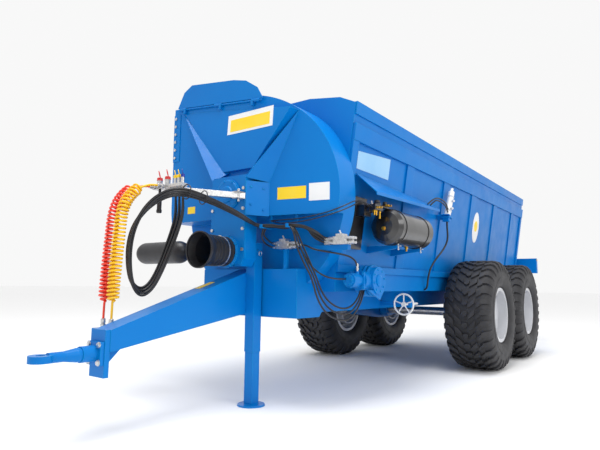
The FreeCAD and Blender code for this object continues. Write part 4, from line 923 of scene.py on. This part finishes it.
def input_shaft():
    """Six-spline stub with its locking groove, and its smooth neck and journal."""
    centre = middle("pto_stub")
    tip, end = low("pto_stub").y, high("pto_stub").y

    def star(away, scale, top=SHAFT_RADIUS):
        ring = []
        for i in range(6):
            for degrees, radius in ((-14, top), (0, top), (14, top), (19, GROOVE_RADIUS), (30, GROOVE_RADIUS),
                                    (41, GROOVE_RADIUS)):
                a, r = math.radians(60 * i + degrees), scale * radius
                ring.append((centre.x + r * math.cos(a), tip + away, centre.z + r * math.sin(a)))
        return ring

    form = Form()
    form.ring_solid([star(0, 0.9), star(0.0025, 1.0), star(0.034, 1.0), star(0.036, 1.0, GROOVE_RADIUS),
                     star(0.044, 1.0, GROOVE_RADIUS), star(0.046, 1.0), star(SPLINE_LENGTH, 1.0)])
    neck = BAR_LENGTH + NECK_LENGTH
    form.lathe((centre.x, tip + SPLINE_LENGTH, centre.z), BACK,
               [(0, SHAFT_RADIUS), (BAR_LENGTH, SHAFT_RADIUS), (BAR_LENGTH, NECK_RADIUS), (neck, NECK_RADIUS),
                (neck, JOURNAL_RADIUS), (end - tip - SPLINE_LENGTH, JOURNAL_RADIUS)], 28)
    shaft = form.piece("splined_stub", "bare_steel", "pto")
    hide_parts("pto_stub")


def guard_bits():
    """Ribs, clamp band and lip of the shaft's guard."""
    back, front = high("pto_shield").y, low("pto_shield").y
    z = middle("pto_shield").z
    narrow, flare, taper_length = 0.112, 0.006, 0.225
    lip_radius, lip_wire = 0.1350, 0.0045
    band, inside, outside = 0.085, 0.1135, 0.1162
    form = Form()
    for away in (0.200, 0.165, 0.130, 0.040):
        radius = narrow + flare * away / taper_length
        rib = [(0, radius - 0.001), (0.003, radius + 0.004), (0.009, radius + 0.004), (0.012, radius - 0.001)]
        form.lathe((0, back - away, z), BACK, rib, 48, False)
    form.ring((0, front + lip_wire, z), BACK, lip_radius, lip_wire, 56)
    form.piece("guard_ribs", "black_plastic", smooth=50.0)
    form = Form()
    form.lathe((0, back - band, z), BACK,
               [(0, inside), (0, outside), (0.012, outside - 0.0002), (0.012, inside)], 48, False)
    form.block((-0.010, back - band - 0.003, z + inside), (0.010, back - band + 0.015, z + inside + 0.0095))
    form.bolt((0.010, back - band + 0.006, z + inside + 0.005), LEFT, 0.009)
    form.piece("guard_band", "bare_steel")


def spare_plug():
    """Plugged spare hose end under the coupler rail."""
    form = Form()
    form.lathe((-0.205, RAIL_FRONT + 0.028, RAIL_MIDDLE - 0.012), DOWN,
               [(0, 0.010), (0.060, 0.010), (0.064, 0.017), (0.150, 0.017), (0.152, 0.020), (0.172, 0.020),
                (0.176, 0.014)], 18)
    form.piece("spare_plug", "black_plastic")


def side_plates():
    """Bolts on the slanted plates at the gearbox's sides."""
    form = Form()
    near = Vector((high("gearbox_cover").x, low("gearbox_cover").y, 0.0))
    far = Vector((0.280, face_y(0.280), 0.0))
    out = Vector((far.y - near.y, near.x - far.x, 0.0)).normalized()
    for share, z in ((0.22, 1.700), (0.75, 1.690), (0.22, 1.560), (0.75, 1.520)):
        place = near.lerp(far, share)
        form.bolt((place.x, place.y, z), out, 0.015)
        form.bolt((-place.x, place.y, z), (-out.x, out.y, 0.0), 0.015)
    form.piece("side_plate_bolts", "blue_paint")


def valve_bits():
    """Banks of plated fittings on the two spool valves, with their levers."""
    fitting = stepped((0.010, 0.0095), (0.024, 0.0125), (0.030, 0.0085)) + [(0.031, 0.0115), (0.052, 0.0105),
                                                                            (0.053, 0.0075)]
    form = Form()
    for x, y, z in (FRONT_VALVE, SIDE_VALVE):
        for row in (0.014, 0.046):
            for end, direction in ((x, -1), (x + 0.120, 1)):
                for shift in (0.018, 0.052):
                    form.lathe((end, y + shift, z + row), (direction, 0, 0), fitting, 12)
        form.block((x + 0.030, y - 0.010, z + 0.060), (x + 0.090, y + 0.060, z + 0.078))
        form.rod((x + 0.060, y + 0.020, z + 0.078), (x + 0.050, y + 0.010, z + 0.105), 0.006, 10)
        for shift in (0.016, 0.104):
            form.bolt((x + shift, y, z + 0.030), AHEAD, 0.012)
    form.piece("valve_fittings", "bare_steel")


def panel_bits():
    """Brake valves with their ports and fittings, on the panel behind the housing and over the tank's end."""
    form = Form()
    form.block((0.880, -1.790, 1.545), (0.945, -1.660, 1.592))
    form.block((0.898, -1.665, 1.582), (0.935, -1.520, 1.596))
    for y, z, wide in ((-1.705, 1.592, 0.030), (-1.565, 1.596, 0.025)):
        neck = wide * 0.74
        form.lathe((0.915, y, z), UP,
                   [(0, wide), (0.018, wide), (0.024, neck), (0.040, neck), (0.046, wide * 0.3)], 20)
    form.piece("brake_valve", "tank_black", bevel=0.002)
    form = Form()
    for y, z in ((-1.765, 1.566), (-1.715, 1.572), (-1.600, 1.604), (-1.545, 1.606)):
        form.lathe((0.937, y, z), LEFT, stepped((0.014, 0.011), (0.030, 0.008)), 6)
    for y, reach in ((-1.768, 0.042), (-1.735, 0.042), (-1.675, 0.062)):
        form.lathe((0.922, y, 1.546), DOWN, stepped((0.016, 0.012), (reach, 0.009)), 6)
    form.piece("brake_fittings", "brass")
    form = Form()
    for y, z in ((-1.772, 1.592), (-1.640, 1.596), (-1.530, 1.596)):
        form.lathe((0.905, y, z), (0, -0.3, 1), stepped((0.012, 0.009), (0.030, 0.006)), 8)
    form.piece("brake_unions", "bare_steel")


def drive_bits():
    """Bolts, cap, ribs and torque bracket of the floor motor and the reducer."""
    x = middle("floor_motor").x
    cap, end = low("floor_motor").y, high("floor_reducer").x
    _, y, z = FLOOR_SHAFT
    form = Form()
    for a in turns(6):
        form.bolt((x + 0.034 * math.cos(a), cap, z + 0.034 * math.sin(a)), AHEAD, 0.011)
    for sx in (-1, 1):
        for sz in (-1, 1):
            form.bolt((x + sx * 0.052, cap + 0.140, z + sz * 0.052), AHEAD, 0.016)
    for a in turns(8):
        form.bolt((end, y + 0.088 * math.cos(a + 0.2), z + 0.088 * math.sin(a + 0.2)), LEFT, 0.014)
    form.piece("drive_bolts", "blue_paint")
    form = Form()
    form.lathe((end, y, z), LEFT, [(0, 0.050), (0.006, 0.050), (0.012, 0.040), (0.014, 0.020)], 24)
    form.piece("reducer_cap", "blue_paint")
    form = Form()
    foot, crest = 0.124, 0.132
    rib = [(0, foot), (0.003, crest), (0.013, crest), (0.016, foot)]
    for away in (0.060, 0.100, 0.140):
        form.lathe((end - away, y, z), LEFT, rib, 40, False)
    bracket = ((-1.800, 0.900), (-1.610, 0.822), (-1.530, 0.905))
    form.slab([(end - 0.022, along, up) for along, up in bracket], (0.012, 0, 0))
    form.piece("reducer_ribs", "blue_paint")


def hitch_bits():
    """Washers under the bolts of the towing eye's flange."""
    face = low("drawbar").y
    form = Form()
    for sx in (-1, 1):
        for sz in (-1, 1):
            place = (sx * 0.052, face - 0.025, EYE_HEIGHT + sz * 0.052)
            form.lathe(place, AHEAD, stepped((0.0025, 0.019)), 20)
    form.piece("flange_washers", "bare_steel")


def stand_bits():
    """Cap on the stand's sleeve, and its pin's head and pull ring."""
    top = high("stand_sleeve").z
    x, y = middle("stand_leg").x, middle("stand_leg").y
    form = Form()
    form.block((x - 0.047, y - 0.047, top), (x + 0.047, y + 0.047, top + 0.006))
    form.piece("sleeve_cap", "blue_paint", bevel=0.002)
    form = Form()
    form.ring((x + 0.062, y, top - 0.078), (1, 0.2, 0), 0.020, 0.0028)
    form.bolt((x - 0.010, y - 0.0452, top - 0.058), AHEAD, 0.024)
    form.piece("stand_pin_ring", "bare_steel")


def reservoir_bits():
    """Clamp bands, unions and foot of the leaning reservoir on the left wall."""
    base = Vector((middle("white_reservoir").x, 0.0, 1.700))
    lean = math.radians(28.0)
    axis = Vector((0.0, math.sin(lean), math.cos(lean)))
    form = Form()
    band = [(0, 0.0375), (0.004, 0.0395), (0.014, 0.0395), (0.018, 0.0375)]
    for d in (0.060, 0.250):
        form.lathe(base + axis * d, axis, band, 28)
    for d in (0.10, 0.20):
        form.lathe(base + axis * d + Vector((0.030, -0.012, 0.0)), (0.8, -0.5, 0.0),
                   stepped((0.018, 0.011), (0.032, 0.014)), 8)
    form.piece("reservoir_bands", "rim_silver")
    form = Form()
    form.block(base - Vector((0.050, 0.060, 0.016)), base + Vector((0.044, 0.052, -0.004)))
    form.block(base - Vector((0.040, 0.040, 0.060)), base + Vector((0.030, 0.036, -0.014)))
    form.piece("reservoir_foot", "blue_paint", bevel=0.003)


def lamp_bits():
    """Two-colour lenses of the rear lamps, and side markers on the light bar's ends."""
    near, far = low("rear_lamps"), high("rear_lamps")
    mark = (near.z + far.z) / 2 + 0.080
    end = high("light_bar").x
    red, amber = Form(), Form()
    for side in (-1, 1):
        red.block((side * 0.752, near.y, near.z), (side * 0.868, far.y, far.z))
        amber.block((side * 0.872, near.y, near.z), (side * 0.928, far.y, far.z))
        amber.block((side * end, near.y - 0.055, mark), (side * (end + 0.006), near.y - 0.015, mark + 0.030))
    lenses = red.piece("lamp_lenses", "lamp_red", bevel=0.003)
    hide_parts("rear_lamps")
    amber.piece("marker_lenses", "lamp_amber", bevel=0.003)


def extra_hoses():
    """Thinner hoses of the photograph, which have no solid."""
    shelf = HOOK_REST - 0.020
    (ax, ay), (bx, by) = ((x, HOUSING_FRONT + reach) for x, reach in HOOKS)
    valve_x, _, valve_z = FRONT_VALVE
    valve_y = low("spool_valves").y
    for i, row in enumerate((0.046, 0.014)):
        z = valve_z + row
        hose("valve_feed_%d" % (i + 1), [
            (ax + 0.008, ay - 0.060 - 0.030 * i, shelf),
            (ax - 0.020, ay - 0.064 - 0.030 * i, shelf - 0.040 - 0.02 * i),
            (ax - 0.028, ay - 0.040, z + 0.050 - 0.02 * i), (ax - 0.022, valve_y + 0.004, z + 0.010),
            (ax, valve_y + 0.018, z), (valve_x, valve_y + 0.018, z)], VALVE_LINE)
    hose("motor_return", [
        (0.450, valve_y + 0.052, 1.229), (0.500, valve_y + 0.052, 1.229), (0.545, valve_y + 0.040, 1.205),
        (0.590, valve_y + 0.035, 1.140), (0.640, valve_y + 0.060, 1.060), (0.700, valve_y + 0.130, 1.000),
        (0.755, -2.072, 0.985), (0.786, -2.030, 0.985), (0.790, -1.996, 0.985)], VALVE_LINE)
    for i, (drop, out) in enumerate(((0.0, 0.0), (0.045, 0.030), (0.090, 0.062))):
        hose("floor_feed_%d" % (i + 1), [
            (bx + 0.010, by - 0.050 - 0.020 * i, shelf), (bx + 0.050, by - 0.060 - 0.020 * i, shelf - 0.030),
            (0.600 - 0.012 * i, by - 0.055 - out * 0.8, 1.240), (0.655 - 0.010 * i, by - 0.030 - out, 1.110),
            (0.690, by + 0.010 - out, 0.990), (0.705, by + 0.060 - out, 0.880 - drop * 0.6),
            (0.725, by + 0.140 - out * 0.5, 0.800 - drop), (0.755, -1.990, 0.752 - drop),
            (0.790, -1.900, 0.770 - drop), (0.812, -1.820 + out * 0.6, 0.850 - drop * 0.5),
            (0.812, -1.800 + 0.03 * i, 0.901)], MOTOR_LINE)
    for i, (lift, reach) in enumerate(((0.0, 0.0), (-0.030, 0.025))):
        hose("panel_feed_%d" % (i + 1), [
            (ax + 0.008, ay - 0.008, shelf + 0.060), (ax + 0.100, ay - 0.012 - 0.02 * i, 1.440 + lift),
            (0.500, -2.300 - 0.02 * i, 1.438 + lift), (0.640, -2.282 - 0.02 * i, 1.450 + lift),
            (0.790, -2.250 - 0.02 * i, 1.480 + lift), (0.895, -2.180, 1.530 + lift),
            (0.925, -2.080, 1.580 + lift), (0.912, -1.960, 1.592), (0.900 + reach, -1.862, 1.578),
            (0.897 + reach, -1.789, 1.568)], PANEL_LINE)
    foot = middle("white_reservoir").x
    hose("reservoir_feed", [
        (foot, -0.008, 1.642), (foot, -0.008, 1.570), (foot - 0.004, 0.022, 1.480),
        (foot - 0.020, 0.020, 1.400), (0.830, -0.040, 1.310), (0.785, -0.120, 1.220), (0.755, -0.195, 1.120),
        (0.745, -0.230, 1.020), (0.735, -0.225, 0.950), (0.705, -0.185, 0.905),
        (0.6803, -0.180, 0.900)], FEED_LINE)
    for i in range(2):
        hose("reservoir_loop_%d" % (i + 1), [
            (0.905, -0.600 + 0.070 * i, 1.752), (0.925, -0.540 + 0.070 * i, 1.800),
            (0.935, -0.420, 1.842 - 0.024 * i), (0.930, -0.260, 1.842 - 0.030 * i),
            (0.915, -0.110, 1.826 - 0.036 * i), (foot + 0.012, -0.020, 1.790 - 0.040 * i),
            (foot + 0.008, 0.030, 1.770 - 0.036 * i)], LOOP_LINE)


def ties():
    """Straps that hold the bundle of hoses under the arm."""
    form = Form()
    for place, axis, radius in (((0.112, -3.030, 1.578), (0.1, 1.0, 0.0), 0.052),
                                ((0.128, -2.885, 1.556), (0.15, 1.0, -0.1), 0.050)):
        form.ring(place, axis, radius, 0.004, 28)
    form.piece("hose_straps", "black_plastic")


# ------------------------------------------------------------------ the whole

camera()
studio()
dress_nodes()
hoses()
tyres()
dust_caps()
signs()
tank_bits()
gearbox_bits()
side_plates()
valve_bits()
panel_bits()
drive_bits()
hitch_bits()
stand_bits()
reservoir_bits()
lamp_bits()
input_shaft()
guard_bits()
spare_plug()
extra_hoses()
ties()
